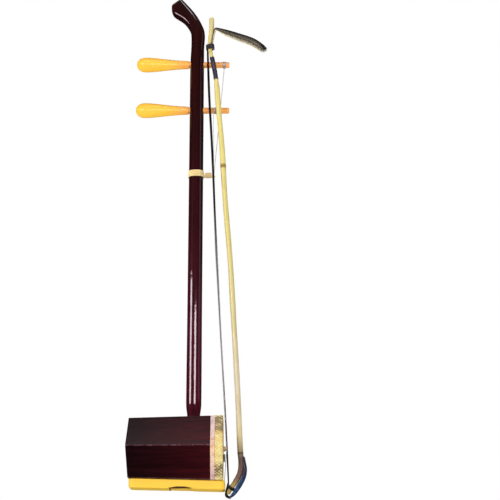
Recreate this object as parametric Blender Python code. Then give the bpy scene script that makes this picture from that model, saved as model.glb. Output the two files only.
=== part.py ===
"""Erhu, a two-string bowed fiddle, parked with its bow between the strings.

Metres, +Z up. The origin is in the middle of the base's underside.
+X points to the front, where the snake skin is, and -Y is the player's right.
The neck stands along Z. The strings are a little out of upright, and the bow lies beside them.
"""

import math

import bmesh
import bpy
from mathutils import Vector

# ---------------------------------------------------------------- driving dimensions (metres)

GAP = 0.0003                 # room left between pieces that touch

# sound box: six mitred staves, wider across the flats at the skin than at the back
BOX_BACK_X = -0.0685
BOX_FRONT_X = 0.0615
RIDGE_OVERHANG = 0.0018      # how far the side ridges reach back beyond the flats' ends
BOX_FLATS_BACK = 0.0815
BOX_FLATS_FRONT = 0.088
BOX_AXIS_Z = 0.0552
STAVE_THICK = 0.005

# skin, stretched over the front and down the sides, in a shallow step cut into the staves
SKIN_THICK = 0.0008
SKIN_SKIRT = 0.0108
BINDING_WIDTH = 0.0062

# back opening
LATTICE_THICK = 0.005
LATTICE_INSET = 0.0015

# base
BASE_BACK_X = -0.067
BASE_FRONT_X = 0.0642
BASE_WIDTH = 0.042
BASE_THICK = 0.0124
BASE_CORNER = 0.005
SCALLOP_X = 0.0035
SCALLOP_LENGTH = 0.030
SCALLOP_HEIGHT = 0.0024
SCALLOP_DEPTH = 0.006

# neck
NECK_X = 0.020
NECK_HALF_X = 0.0104
NECK_HALF_Y = 0.0095
NECK_FOOT_HALF_X = 0.0107
COLLAR_HALF_X = 0.0087
COLLAR_HALF_Y = 0.0082
TENON_HALF_X = 0.0068
TENON_HALF_Y = 0.0064
NECK_SQUARENESS = 2.5        # 2 is an ellipse, and more is squarer
HEAD_SQUARENESS = 4.5
NECK_SIDES = 32

# strings
STRING_R = {"inner": 0.0004, "outer": 0.0003}
QIANJIN_Z = 0.4555
QIANJIN_WRAP_Z = 0.458
QIANJIN_STRING_X = NECK_X + 0.0262
QIANJIN_STRING_Y = 0.0022
BRIDGE_Z = 0.056
BRIDGE_STRING_X = 0.0662
BRIDGE_STRING_Y = 0.005
ANCHOR_X = 0.0633
ANCHOR_Y = 0.0045
NOTCH_DEPTH = 0.0017
NOTCH_WIDTH = 0.0022
TOGGLE_R = 0.0015
TOGGLE_LENGTH = 0.018
TOGGLE_X = 0.0626
TOGGLE_Z = 0.0010

# pegs
UPPER_PEG_Z = 0.634
LOWER_PEG_Z = 0.560
PEG_SHAFT_R = 0.0047         # where the shaft leaves the back of the neck
PEG_TIP_R = 0.0043
PEG_SIDES = 28
WINDING_SIDES = 20
WINDING_X = {"upper": NECK_X + 0.041, "lower": NECK_X + 0.0278}
WINDING_TURNS = 6

# bow: it turns about an axis square to the gap between the strings
BOW_PIVOT_Z = 0.140
BOW_LEAN = math.radians(25)  # how far that axis is turned from the front towards the player's right
BOW_REST_TILT = math.radians(1.42)
HAIR_WIDTH = 0.004
HAIR_THICK = 0.0009
BOW_SIDES = 14

# ---------------------------------------------------------------- colours (linear), roughness, metallic

LACQUER = ((0.030, 0.006, 0.007), 0.18, 0.0)
LACQUER_DARK = ((0.018, 0.004, 0.005), 0.18, 0.0)
YELLOW_WOOD = ((0.86, 0.47, 0.07), 0.45, 0.0)
BAMBOO = ((0.72, 0.61, 0.27), 0.45, 0.0)
SKIN = ((0.80, 0.66, 0.30), 0.5, 0.0)
BINDING = ((0.80, 0.62, 0.55), 0.6, 0.0)
PALE_WOOD = ((0.62, 0.42, 0.20), 0.5, 0.0)
STEEL = ((0.60, 0.60, 0.62), 0.3, 1.0)
THREAD = ((0.70, 0.48, 0.09), 0.8, 0.0)
FELT = ((0.10, 0.10, 0.11), 0.95, 0.0)
HAIR = ((0.014, 0.013, 0.012), 0.5, 0.0)
TAPE = ((0.022, 0.015, 0.028), 0.4, 0.0)
FROG = ((0.03, 0.07, 0.15), 0.35, 0.0)
BRASS = ((0.75, 0.55, 0.22), 0.3, 1.0)

# ---------------------------------------------------------------- small helpers


def clear_scene():
    for obj in list(bpy.data.objects):
        bpy.data.objects.remove(obj, do_unlink=True)


def make_material(name, finish):
    colour, roughness, metallic = finish
    material = bpy.data.materials.new(name)
    material.use_nodes = True
    shader = material.node_tree.nodes["Principled BSDF"]
    shader.inputs["Base Color"].default_value = (*colour, 1.0)
    shader.inputs["Roughness"].default_value = roughness
    shader.inputs["Metallic"].default_value = metallic
    return material


def link_mesh(name, bm, finish=None, sharp_deg=35):
    """Make an object from a bmesh, with its faces pointing out. It has no finish if it is a cutter."""
    bmesh.ops.recalc_face_normals(bm, faces=bm.faces)
    mesh = bpy.data.meshes.new(name)
    bm.to_mesh(mesh)
    bm.free()
    mesh.shade_smooth()
    mesh.set_sharp_from_angle(angle=math.radians(sharp_deg))
    obj = bpy.data.objects.new(name, mesh)
    bpy.context.collection.objects.link(obj)
    if finish:
        mesh.materials.append(make_material(name, finish))
    else:
        obj.hide_render = True
        obj.display_type = "WIRE"
    return obj


def cut(target, cutter):
    modifier = target.modifiers.new("cut " + cutter.name, "BOOLEAN")
    modifier.operation = "DIFFERENCE"
    modifier.object = cutter


def make_pivot(name, point):
    pivot = bpy.data.objects.new(name, None)
    pivot.location = point
    pivot.empty_display_size = 0.02
    bpy.context.collection.objects.link(pivot)
    return pivot


def hang_on(pivot, objects):
    """Parent objects, which lie in world coordinates, to an empty on their joint's axis."""
    for obj in objects:
        for vertex in obj.data.vertices:
            vertex.co -= pivot.location
        obj.parent = pivot


def smooth_path(points, steps):
    """Points on a smooth curve through the given ones (Catmull-Rom), with some steps in each span."""
    rows = [Vector(p) for p in points]
    rows = [2 * rows[0] - rows[1]] + rows + [2 * rows[-1] - rows[-2]]
    path = []
    for a, b, c, d in zip(rows, rows[1:], rows[2:], rows[3:]):
        for i in range(steps):
            t = i / steps
            path.append(0.5 * (2 * b + (c - a) * t + (2 * a - 5 * b + 4 * c - d) * t ** 2
                               + (3 * b - a - 3 * c + d) * t ** 3))
    path.append(rows[-2])
    return path


def ring(centre, half_a, half_b, sides, squareness=2.0):
    """A closed oval of points. half_a and half_b are its half axes as vectors."""
    points = []
    for i in range(sides):
        angle = 2 * math.pi * (i + 0.5) / sides
        c = math.cos(angle)
        s = math.sin(angle)
        a = math.copysign(abs(c) ** (2 / squareness), c)
        b = math.copysign(abs(s) ** (2 / squareness), s)
        points.append(centre + half_a * a + half_b * b)
    return points


def loft(rings, closed=False):
    """Join rings of equally many points into a skin. It has a cap at each end, or runs round as a loop."""
    bm = bmesh.new()
    loops = [[bm.verts.new(p) for p in points] for points in rings]
    pairs = list(zip(loops, loops[1:]))
    if closed:
        pairs.append((loops[-1], loops[0]))
    for low, high in pairs:
        for i in range(len(low)):
            j = (i + 1) % len(low)
            bm.faces.new((low[i], low[j], high[j], high[i]))
    if not closed:
        bm.faces.new(loops[0])
        bm.faces.new(loops[-1])
    return bm


def tube(path, radii, side, flat=1.0, sides=12, closed=False):
    """A tube along a path. side is the direction of its second half axis, flat times the radius."""
    rings = []
    count = len(path)
    for i, centre in enumerate(path):
        before = path[i - 1] if closed or i else path[0]
        after = path[(i + 1) % count] if closed else path[min(i + 1, count - 1)]
        along = (after - before).normalized()
        across = (side - along * side.dot(along)).normalized()
        rings.append(ring(centre, along.cross(across) * radii[i], across * radii[i] * flat, sides))
    return loft(rings, closed)


def turned(profile, sides):
    """Turn a profile of (distance along X, radius) round the X axis. Radius 0 closes an end."""
    bm = bmesh.new()
    verts = [bm.verts.new((x, 0, r)) for x, r in profile]
    edges = [bm.edges.new(pair) for pair in zip(verts, verts[1:])]
    bmesh.ops.spin(bm, geom=verts + edges, cent=(0, 0, 0), axis=(1, 0, 0), angle=2 * math.pi,
                   steps=sides, use_merge=True)
    bmesh.ops.remove_doubles(bm, verts=bm.verts, dist=1e-6)
    return bm


def rounded_end(x, radius, rounding, inwards, steps=4):
    """Points of a rounded edge, from a disc's middle out to its full radius. inwards is +1 or -1 along X."""
    points = [(x, 0.0)]
    for i in range(steps + 1):
        angle = math.pi / 2 * i / steps
        points.append((x + inwards * rounding * (1 - math.cos(angle)), radius - rounding * (1 - math.sin(angle))))
    return points


def prism(outline, offset):
    """Extrude a flat outline of points by a vector."""
    bm = bmesh.new()
    face = bm.faces.new([bm.verts.new(p) for p in outline])
    result = bmesh.ops.extrude_face_region(bm, geom=[face])
    moved = [g for g in result["geom"] if isinstance(g, bmesh.types.BMVert)]
    bmesh.ops.translate(bm, vec=offset, verts=moved)
    return bm


def box_bm(low, high):
    x0, y0, z0 = low
    x1, y1, z1 = high
    outline = [Vector(p) for p in ((x0, y0, z0), (x1, y0, z0), (x1, y1, z0), (x0, y1, z0))]
    return prism(outline, Vector((0, 0, z1 - z0)))


def bevel_edges(bm, width, segments, keep):
    edges = [e for e in bm.edges if keep(e)]
    bmesh.ops.bevel(bm, geom=edges, offset=width, segments=segments, affect="EDGES", profile=0.5)


def turned_piece(name, profile, sides, finish, place, sharp_deg=35):
    """A turned piece with its origin on its own axis, at a place."""
    obj = link_mesh(name, turned(profile, sides), finish, sharp_deg)
    obj.location = place
    return obj


# ---------------------------------------------------------------- sound box


def box_flats(x):
    """The box's width across its flats, at a distance along the neck-to-skin axis."""
    t = (x - BOX_BACK_X) / (BOX_FRONT_X - BOX_BACK_X)
    return BOX_FLATS_BACK + (BOX_FLATS_FRONT - BOX_FLATS_BACK) * t


def hexagon(x, apothem):
    """A flat-topped hexagon round the box's axis."""
    radius = apothem / math.cos(math.pi / 6)
    corners = []
    for i in range(6):
        angle = math.pi / 3 * i
        corners.append(Vector((x, radius * math.cos(angle), BOX_AXIS_Z + radius * math.sin(angle))))
    return corners


def make_stave(name, facing_deg):
    """One side of the box: a plank with mitred edges, and a shallow step for the skin at its front."""
    out = Vector((0, math.cos(math.radians(facing_deg)), math.sin(math.radians(facing_deg))))
    along = Vector((1, 0, 0)).cross(out)
    step_x = BOX_FRONT_X - SKIN_SKIRT - BINDING_WIDTH - GAP
    step = SKIN_THICK + GAP
    rings = []
    for x, lowered in ((BOX_BACK_X, 0), (step_x, 0), (step_x + 0.0001, step), (BOX_FRONT_X - step, step)):
        corners = []
        for side, depth in ((-1, lowered), (1, lowered), (1, STAVE_THICK), (-1, STAVE_THICK)):
            is_ridge = (facing_deg + 30 * side) % 180 == 0
            corner_x = x - RIDGE_OVERHANG if is_ridge and x == BOX_BACK_X else x
            reach = box_flats(corner_x) / 2 - depth
            half = reach * math.tan(math.pi / 6) - GAP * 0.6
            corners.append(Vector((corner_x, 0, BOX_AXIS_Z)) + out * reach + along * half * side)
        rings.append(corners)
    return link_mesh(name, loft(rings), LACQUER)


def make_box():
    staves = {
        "stave_left_upper": 30, "stave_top": 90, "stave_right_upper": 150,
        "stave_right_lower": 210, "stave_bottom": 270, "stave_left_lower": 330,
    }
    made = {name: make_stave(name, facing) for name, facing in staves.items()}
    collar = neck_cutter("collar_hole", COLLAR_HALF_X, COLLAR_HALF_Y, BOX_AXIS_Z + 0.030, BOX_AXIS_Z + 0.060)
    tenon = neck_cutter("tenon_hole", TENON_HALF_X, TENON_HALF_Y, BOX_AXIS_Z - 0.060, BOX_AXIS_Z - 0.030)
    cut(made["stave_top"], collar)
    cut(made["stave_bottom"], tenon)
    return made


def neck_cutter(name, half_x, half_y, low_z, high_z):
    """A post of the neck's own section with the usual room round it, to cut the neck's holes."""
    half_a = Vector((half_x + GAP, 0, 0))
    half_b = Vector((0, half_y + GAP, 0))
    rings = [ring(Vector((NECK_X, 0, z)), half_a, half_b, NECK_SIDES, NECK_SQUARENESS) for z in (low_z, high_z)]
    return link_mesh(name, loft(rings))


def make_skin():
    """The skin: a shallow hexagonal cup over the box's front."""
    back = BOX_FRONT_X - SKIN_SKIRT
    round_off = 0.0007
    outer_back = box_flats(back) / 2
    outer_front = BOX_FLATS_FRONT / 2
    rings = [
        hexagon(BOX_FRONT_X - SKIN_THICK, outer_front - SKIN_THICK),
        hexagon(back, outer_back - SKIN_THICK),
        hexagon(back, outer_back),
        hexagon(BOX_FRONT_X - round_off, outer_front),
        hexagon(BOX_FRONT_X - round_off * 0.3, outer_front - round_off * 0.3),
        hexagon(BOX_FRONT_X, outer_front - round_off),
    ]
    return link_mesh("python_skin", loft(rings), SKIN)


def make_binding():
    """The pale strip glued round the box over the skin's cut edge."""
    front = BOX_FRONT_X - SKIN_SKIRT - GAP
    back = front - BINDING_WIDTH + GAP
    rings = []
    for x, inset in ((back, SKIN_THICK), (back, 0), (front, 0), (front, SKIN_THICK)):
        rings.append(hexagon(x, box_flats(x) / 2 - inset))
    return link_mesh("skin_binding", loft(rings, closed=True), BINDING)


def make_lattice():
    """The carved window that closes the back of the box: six openings round a hexagonal eye."""
    x = BOX_BACK_X + LATTICE_INSET
    apothem = box_flats(x) / 2 - STAVE_THICK - GAP
    rings = [hexagon(x, apothem), hexagon(x + LATTICE_THICK, apothem)]
    lattice = link_mesh("rear_lattice", loft(rings), LACQUER_DARK)
    for i in range(6):
        cut(lattice, lattice_petal(i, x))
    eye = link_mesh("lattice_eye", loft([hexagon(x - 0.002, 0.0062), hexagon(x + LATTICE_THICK + 0.002, 0.0062)]))
    cut(lattice, eye)
    return lattice


def lattice_petal(index, x):
    """A cutter for one window of the lattice: a six-pointed petal with rounded shoulders."""
    facing = math.radians(60 * index + 30)
    out = Vector((0, math.cos(facing), math.sin(facing)))
    along = Vector((1, 0, 0)).cross(out)
    centre = Vector((x - 0.002, 0, BOX_AXIS_Z))
    shape = ((0.0105, 0.0), (0.0145, 0.0040), (0.0215, 0.0080), (0.0270, 0.0115), (0.0305, 0.0080),
             (0.0312, 0.0), (0.0305, -0.0080), (0.0270, -0.0115), (0.0215, -0.0080), (0.0145, -0.0040))
    outline = [centre + out * a + along * b for a, b in shape]
    return link_mesh(f"lattice_petal_{index + 1}", prism(outline, Vector((LATTICE_THICK + 0.004, 0, 0))))


# ---------------------------------------------------------------- base


def base_top(x):
    """Height of the base's upper face, which lies just under the box's bottom stave."""
    return BOX_AXIS_Z - box_flats(x) / 2 - GAP


def base_under(x):
    return base_top(x) - base_top(0)


def base_outline(inset):
    """The base seen from above: a long rectangle with rounded corners."""
    half_y = BASE_WIDTH / 2 - inset
    corners = ((BASE_FRONT_X - inset, half_y, 0), (BASE_BACK_X + inset, half_y, 90),
               (BASE_BACK_X + inset, -half_y, 180), (BASE_FRONT_X - inset, -half_y, 270))
    radius = BASE_CORNER - inset
    points = []
    for x, y, start in corners:
        centre_x = x - math.copysign(radius, x)
        centre_y = y - math.copysign(radius, y)
        for i in range(5):
            angle = math.radians(start + 90 * i / 4)
            points.append((centre_x + radius * math.cos(angle), centre_y + radius * math.sin(angle)))
    return points


def make_base():
    """A long wooden foot with softened edges. Its two faces follow the slope of the box's underside."""
    edge = 0.001
    rings = []
    for inset, height in ((edge, 0), (0, edge), (0, BASE_THICK - edge), (edge, BASE_THICK)):
        rings.append([Vector((x, y, base_under(x) + height * base_top(0) / BASE_THICK))
                      for x, y in base_outline(inset)])
    base = link_mesh("base", loft(rings), YELLOW_WOOD)
    cut(base, scallop_cutter("scallop_right", -1))
    cut(base, scallop_cutter("scallop_left", 1))
    cut(base, foot_screw_cutter())
    top = TOGGLE_Z + TOGGLE_R + GAP
    rebate = box_bm((TOGGLE_X - TOGGLE_R - GAP, -0.0112, -0.006), (BASE_FRONT_X + 0.004, 0.0112, top))
    cut(base, link_mesh("toggle_rebate", rebate))
    for name, y in (("inner_string_notch", ANCHOR_Y), ("outer_string_notch", -ANCHOR_Y)):
        low = (BASE_FRONT_X - NOTCH_DEPTH, y - NOTCH_WIDTH / 2, top - 0.001)
        high = (BASE_FRONT_X + 0.004, y + NOTCH_WIDTH / 2, BASE_THICK + 0.004)
        cut(base, link_mesh(name, box_bm(low, high)))
    return base


def scallop_cutter(name, side):
    """A big shallow disc that hollows the lower long edge of the base on one side."""
    radius = (SCALLOP_LENGTH ** 2 / 4 + SCALLOP_HEIGHT ** 2) / (2 * SCALLOP_HEIGHT)
    centre_z = base_under(SCALLOP_X) - radius + SCALLOP_HEIGHT
    inner = side * (BASE_WIDTH / 2 - SCALLOP_DEPTH)
    outer = side * (BASE_WIDTH / 2 + 0.004)
    rings = []
    for y, grow in ((inner, 0.0), (outer, 0.0012)):
        centre = Vector((SCALLOP_X, y, centre_z))
        rings.append(ring(centre, Vector((radius + grow, 0, 0)), Vector((0, 0, radius + grow)), 64))
    return link_mesh(name, loft(rings))


FOOT_SCREW_HEAD_R = 0.0045
FOOT_SCREW_SHANK_R = 0.0022
FOOT_SCREW_HEAD_Z = 0.0014
FOOT_SCREW_LENGTH = 0.032


def foot_screw_cutter():
    """The stepped hole for the foot screw: a counterbore for its head, and a hole for its shank."""
    head = FOOT_SCREW_HEAD_R + 0.0005
    shank = FOOT_SCREW_SHANK_R + GAP
    shoulder = FOOT_SCREW_HEAD_Z + 0.0032
    profile = [(-0.004, 0), (-0.004, head), (shoulder, head), (shoulder, shank), (0.020, shank), (0.020, 0)]
    cutter = link_mesh("foot_screw_hole", turned(profile, 24))
    stand_up(cutter)
    return cutter


def stand_up(obj):
    """Turn a piece made along X so that it points up, on the neck's axis."""
    obj.rotation_euler = (0, -math.pi / 2, 0)
    obj.location = (NECK_X, 0, 0)


def make_foot_screw():
    """The screw that draws the base and the box up against the end of the neck."""
    head = FOOT_SCREW_HEAD_R
    shank = FOOT_SCREW_SHANK_R
    low = FOOT_SCREW_HEAD_Z
    neck = low + 0.0028
    tip = low + FOOT_SCREW_LENGTH
    profile = [(low + 0.0009, 0), (low + 0.0009, head * 0.32), (low, head * 0.36), (low, head * 0.8),
               (low + 0.0006, head), (low + 0.0016, head), (neck, head * 0.92), (neck, shank)]
    profile += [(tip - 0.004, shank), (tip, 0.0005), (tip, 0)]
    screw = link_mesh("foot_screw", turned(profile, 20), STEEL)
    stand_up(screw)
    return screw


def make_toggle():
    """The little pin in the corner below the base's front end, that the strings' ends are looped round."""
    profile = rounded_end(-TOGGLE_LENGTH / 2, TOGGLE_R, 0.0006, 1, 3)
    profile += [(-x, r) for x, r in reversed(profile)]
    toggle = link_mesh("string_toggle", turned(profile, 16), BRASS)
    toggle.rotation_euler = (0, 0, math.pi / 2)
    toggle.location = (TOGGLE_X, 0, TOGGLE_Z)
    return toggle


# ---------------------------------------------------------------- neck and head

# the head's curve, from the square neck up: (front x, front z, back x, back z, half width), x from the neck's middle
HEAD = (
    (0.0104, 0.6300, -0.0104, 0.6300, 0.0095),
    (0.0103, 0.6480, -0.0098, 0.6480, 0.0095),
    (0.0104, 0.6620, -0.0091, 0.6640, 0.0095),
    (0.0110, 0.6720, -0.0091, 0.6770, 0.0095),
    (0.0114, 0.6820, -0.0100, 0.6868, 0.0095),
    (0.0105, 0.6895, -0.0124, 0.6928, 0.0094),
    (0.0080, 0.6963, -0.0163, 0.6992, 0.0093),
    (0.0044, 0.7040, -0.0213, 0.7050, 0.0092),
    (0.0000, 0.7118, -0.0268, 0.7091, 0.0091),
    (-0.0052, 0.7195, -0.0322, 0.7125, 0.0090),
    (-0.0110, 0.7267, -0.0363, 0.7160, 0.0089),
    (-0.0165, 0.7330, -0.0385, 0.7202, 0.0088),
    (-0.0206, 0.7376, -0.0395, 0.7240, 0.0087),
    (-0.0240, 0.7412, -0.0396, 0.7290, 0.0086),
)
HEAD_END_ROUNDING = 0.0006


def neck_ring(front_x, front_z, back_x, back_z, half_y, squareness=NECK_SQUARENESS):
    front = Vector((NECK_X + front_x, 0, front_z))
    back = Vector((NECK_X + back_x, 0, back_z))
    return ring((front + back) / 2, (front - back) / 2, Vector((0, half_y, 0)), NECK_SIDES, squareness)


def neck_level(z, half_x, half_y):
    return neck_ring(half_x, z, -half_x, z, half_y)


def make_neck():
    """One piece of wood: the tenon through the box, the collar, the long neck and the curved head."""
    box_top = BOX_AXIS_Z + box_flats(NECK_X) / 2
    box_bottom = BOX_AXIS_Z - box_flats(NECK_X) / 2
    rings = [
        neck_level(box_bottom + GAP, TENON_HALF_X, TENON_HALF_Y),
        neck_level(box_top - 0.012, TENON_HALF_X, TENON_HALF_Y),
        neck_level(box_top - 0.009, COLLAR_HALF_X, COLLAR_HALF_Y),
        neck_level(box_top + 0.001, COLLAR_HALF_X, COLLAR_HALF_Y),
        neck_level(box_top + 0.006, COLLAR_HALF_X + 0.0005, COLLAR_HALF_Y + 0.0003),
        neck_level(box_top + 0.011, COLLAR_HALF_X + 0.0012, COLLAR_HALF_Y + 0.0008),
        neck_level(box_top + 0.016, NECK_FOOT_HALF_X - 0.0002, NECK_HALF_Y),
        neck_level(box_top + 0.022, NECK_FOOT_HALF_X, NECK_HALF_Y),
        neck_level(0.240, NECK_HALF_X + 0.0001, NECK_HALF_Y),
        neck_level(0.400, NECK_HALF_X, NECK_HALF_Y),
        neck_level(0.520, NECK_HALF_X, NECK_HALF_Y),
        neck_level(0.595, NECK_HALF_X, NECK_HALF_Y),
    ]
    for i, row in enumerate(HEAD):
        share = i / (len(HEAD) - 1)
        rings.append(neck_ring(*row, NECK_SQUARENESS + (HEAD_SQUARENESS - NECK_SQUARENESS) * share))
    rings.append(head_end_ring())
    neck = link_mesh("neck", loft(rings), LACQUER, 50)
    for name, z in (("upper_peg_hole", UPPER_PEG_Z), ("lower_peg_hole", LOWER_PEG_Z)):
        cut(neck, peg_hole(name, z))
    tip = FOOT_SCREW_HEAD_Z + FOOT_SCREW_LENGTH + 0.002
    bore = link_mesh("foot_screw_bore", turned([(0, 0), (0, FOOT_SCREW_SHANK_R + GAP), (tip, FOOT_SCREW_SHANK_R + GAP),
                                                (tip, 0)], 20))
    stand_up(bore)
    cut(neck, bore)
    return neck


def head_end_ring():
    """The head's end face, pulled in a little all round so that its edge is soft."""
    front_x, front_z, back_x, back_z, half_y = HEAD[-1]
    across = Vector((front_x - back_x, front_z - back_z)).normalized()
    outwards = Vector((-across.y, across.x)) * HEAD_END_ROUNDING
    pull = across * HEAD_END_ROUNDING
    return neck_ring(front_x - pull.x + outwards.x, front_z - pull.y + outwards.y,
                     back_x + pull.x + outwards.x, back_z + pull.y + outwards.y, half_y - HEAD_END_ROUNDING,
                     HEAD_SQUARENESS)


def peg_hole(name, z):
    """A slightly tapered hole from the back of the neck to its front."""
    reach = 0.016
    back = shaft_radius(-reach) + GAP
    front = shaft_radius(reach) + GAP
    hole = link_mesh(name, turned([(-reach, 0), (-reach, back), (reach, front), (reach, 0)], PEG_SIDES))
    hole.location = (NECK_X, 0, z)
    return hole


# ---------------------------------------------------------------- pegs

SHAFT_BACK = -0.0145
SHAFT_FRONT = 0.0485
# the handle's outline, from its round end to the shaft: (x from the neck's middle, radius)
HANDLE = ((-0.0908, 0.0), (-0.0905, 0.0026), (-0.0893, 0.0054), (-0.0870, 0.0080), (-0.0838, 0.0098),
          (-0.0795, 0.0108), (-0.0745, 0.0110), (-0.0680, 0.0107), (-0.0580, 0.0098), (-0.0460, 0.0085),
          (-0.0340, 0.0073), (-0.0240, 0.0065), (-0.0175, 0.0062), (-0.0155, 0.0059))


def shaft_radius(x):
    """The peg's shaft tapers from the handle to its tip. x is from the neck's middle."""
    t = (x - SHAFT_BACK) / (SHAFT_FRONT - SHAFT_BACK)
    return PEG_SHAFT_R + (PEG_TIP_R - PEG_SHAFT_R) * t


def make_peg(name, z):
    profile = list(HANDLE)
    for x in (SHAFT_BACK, -0.0110, 0.0110, 0.0300, SHAFT_FRONT - 0.0012):
        profile.append((x, shaft_radius(x)))
    profile += [(SHAFT_FRONT - 0.0003, PEG_TIP_R - 0.0006), (SHAFT_FRONT, PEG_TIP_R - 0.0014), (SHAFT_FRONT, 0.0)]
    return turned_piece(name, profile, PEG_SIDES, YELLOW_WOOD, (NECK_X, 0, z))


def make_winding(name, x, z, string_radius):
    """The string's turns on its peg, side by side."""
    inner = shaft_radius(x - NECK_X) + GAP
    pitch = string_radius * 2.15
    start = x - pitch * WINDING_TURNS / 2
    rings = []
    for turn in range(WINDING_TURNS):
        for part, height in ((0.0, 1.0), (0.5, 2.1)):
            rings.append((start + pitch * (turn + part), inner + string_radius * height))
    rings.append((start + pitch * WINDING_TURNS, inner + string_radius))
    rings.append((start + pitch * WINDING_TURNS, inner))
    rings.append((start, inner))
    loops = []
    for along, radius in rings:
        centre = Vector((along - NECK_X, 0, 0))
        loops.append(ring(centre, Vector((0, radius, 0)), Vector((0, 0, radius)), WINDING_SIDES))
    winding = link_mesh(name, loft(loops, closed=True), STEEL, 80)
    winding.location = (NECK_X, 0, z)
    return winding


# ---------------------------------------------------------------- strings and what they pass over


def make_string(name, points, radius):
    """A taut string: a round curve with filled ends."""
    curve = bpy.data.curves.new(name, "CURVE")
    curve.dimensions = "3D"
    curve.bevel_depth = radius
    curve.bevel_resolution = 2
    curve.use_fill_caps = True
    spline = curve.splines.new("POLY")
    spline.points.add(len(points) - 1)
    for target, point in zip(spline.points, points):
        target.co = (*point, 1.0)
    curve.materials.append(make_material(name, STEEL))
    obj = bpy.data.objects.new(name, curve)
    bpy.context.collection.objects.link(obj)
    return obj


def string_route(peg_x, peg_z, tangent_y, side, radius, beside_lower_peg):
    """A string's run from its peg, through the qianjin, over the bridge and down to the pin at the base."""
    notch = Vector((BRIDGE_STRING_X, side * BRIDGE_STRING_Y, BRIDGE_Z))
    qianjin = Vector((QIANJIN_STRING_X, side * QIANJIN_STRING_Y, QIANJIN_Z))
    anchor = Vector((ANCHOR_X, side * ANCHOR_Y, base_top(ANCHOR_X) + 0.001))
    start = Vector((peg_x, side * tangent_y, peg_z))
    route = [start]
    if beside_lower_peg:
        share = (peg_z - LOWER_PEG_Z) / (peg_z - QIANJIN_Z)
        beside = start.lerp(qianjin, share)
        beside.y = side * (shaft_radius(beside.x - NECK_X) + 2 * GAP + radius)
        route.append(beside)
    route += [qianjin + Vector((0, 0, 0.003)), qianjin - Vector((0, 0, 0.003))]
    route += [qianjin.lerp(notch, t) for t in (0.25, 0.5, 0.75, 0.985)]
    route += [notch, notch.lerp(anchor, 0.12), notch.lerp(anchor, 0.6), anchor]
    route.append(Vector((ANCHOR_X, side * ANCHOR_Y, TOGGLE_Z + TOGGLE_R + 2 * GAP)))
    return route


def winding_tangent(x, string_radius, turns_below):
    """How far to the side the string leaves its peg. It may lie on top of other turns."""
    return shaft_radius(x - NECK_X) + GAP + string_radius * (1.1 + 2.1 * turns_below) + GAP * turns_below


def make_strings():
    inner_r = STRING_R["inner"]
    outer_r = STRING_R["outer"]
    upper_x = WINDING_X["upper"]
    lower_x = WINDING_X["lower"] - outer_r * 2.15 * WINDING_TURNS / 2 - outer_r * 2
    inner = string_route(upper_x, UPPER_PEG_Z, winding_tangent(upper_x, inner_r, 1), 1, inner_r, True)
    outer = string_route(lower_x, LOWER_PEG_Z, winding_tangent(lower_x, outer_r, 0), -1, outer_r, False)
    return make_string("inner_string", inner, inner_r), make_string("outer_string", outer, outer_r)


def make_bridge():
    """A small wooden bridge on the skin, with an arch below and a deep dip between its two notches."""
    foot_x = BOX_FRONT_X + GAP
    notch_x = BRIDGE_STRING_X - STRING_R["inner"] - GAP
    half = (
        (0.0095, foot_x), (0.0095, foot_x + 0.0014), (0.0078, foot_x + 0.0030), (0.0072, notch_x - 0.0006),
        (0.0064, notch_x + 0.0006), (0.0056, notch_x + 0.0006), (BRIDGE_STRING_Y, notch_x - 0.0002),
        (0.0044, notch_x + 0.0004), (0.0040, notch_x - 0.0004), (0.0026, notch_x - 0.0020),
    )
    arch = ((0.0022, foot_x + 0.0016), (0.0036, foot_x))
    outline = [(y, x) for y, x in half] + [(-y, x) for y, x in reversed(half)]
    outline += [(-y, x) for y, x in reversed(arch)] + [(y, x) for y, x in arch]
    half_z = 0.0030
    points = [Vector((x, y, BRIDGE_Z - half_z)) for y, x in outline]
    bm = prism(points, Vector((0, 0, 2 * half_z)))
    for vertex in bm.verts:
        rise = (vertex.co.x - foot_x) / (notch_x - foot_x)
        vertex.co.z = BRIDGE_Z + (vertex.co.z - BRIDGE_Z) * (1 - 0.42 * rise)
    return link_mesh("bridge", bm, PALE_WOOD, 30)


def make_damper():
    """The felt pad between the strings and the skin, just under the bridge."""
    low = Vector((BOX_FRONT_X + GAP, -0.0085, 0.0385))
    high = Vector((BOX_FRONT_X + 0.0027, 0.0085, 0.0480))
    bm = box_bm(low, high)
    bevel_edges(bm, 0.0008, 3, lambda e: True)
    return link_mesh("damper_pad", bm, FELT, 40)


def make_qianjin_wrap():
    """The thread wound round the neck where the qianjin is tied, turn beside turn."""
    turns = 8
    thread = 0.0012
    low = QIANJIN_WRAP_Z - turns * thread / 2
    inner = GAP
    profile = []
    for turn in range(turns):
        for part, height in ((0.0, 0.55), (0.5, 1.0)):
            profile.append((low + thread * (turn + part), inner + thread * height))
    profile.append((low + thread * turns, inner + thread * 0.55))
    profile.append((low + thread * turns, inner))
    profile.append((low, inner))
    loops = []
    for z, grow in profile:
        half_x = Vector((NECK_HALF_X + grow, 0, 0))
        half_y = Vector((0, NECK_HALF_Y + grow, 0))
        loops.append(ring(Vector((NECK_X, 0, z)), half_x, half_y, NECK_SIDES, NECK_SQUARENESS))
    return link_mesh("qianjin_wrap", loft(loops, closed=True), THREAD, 80)


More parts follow.
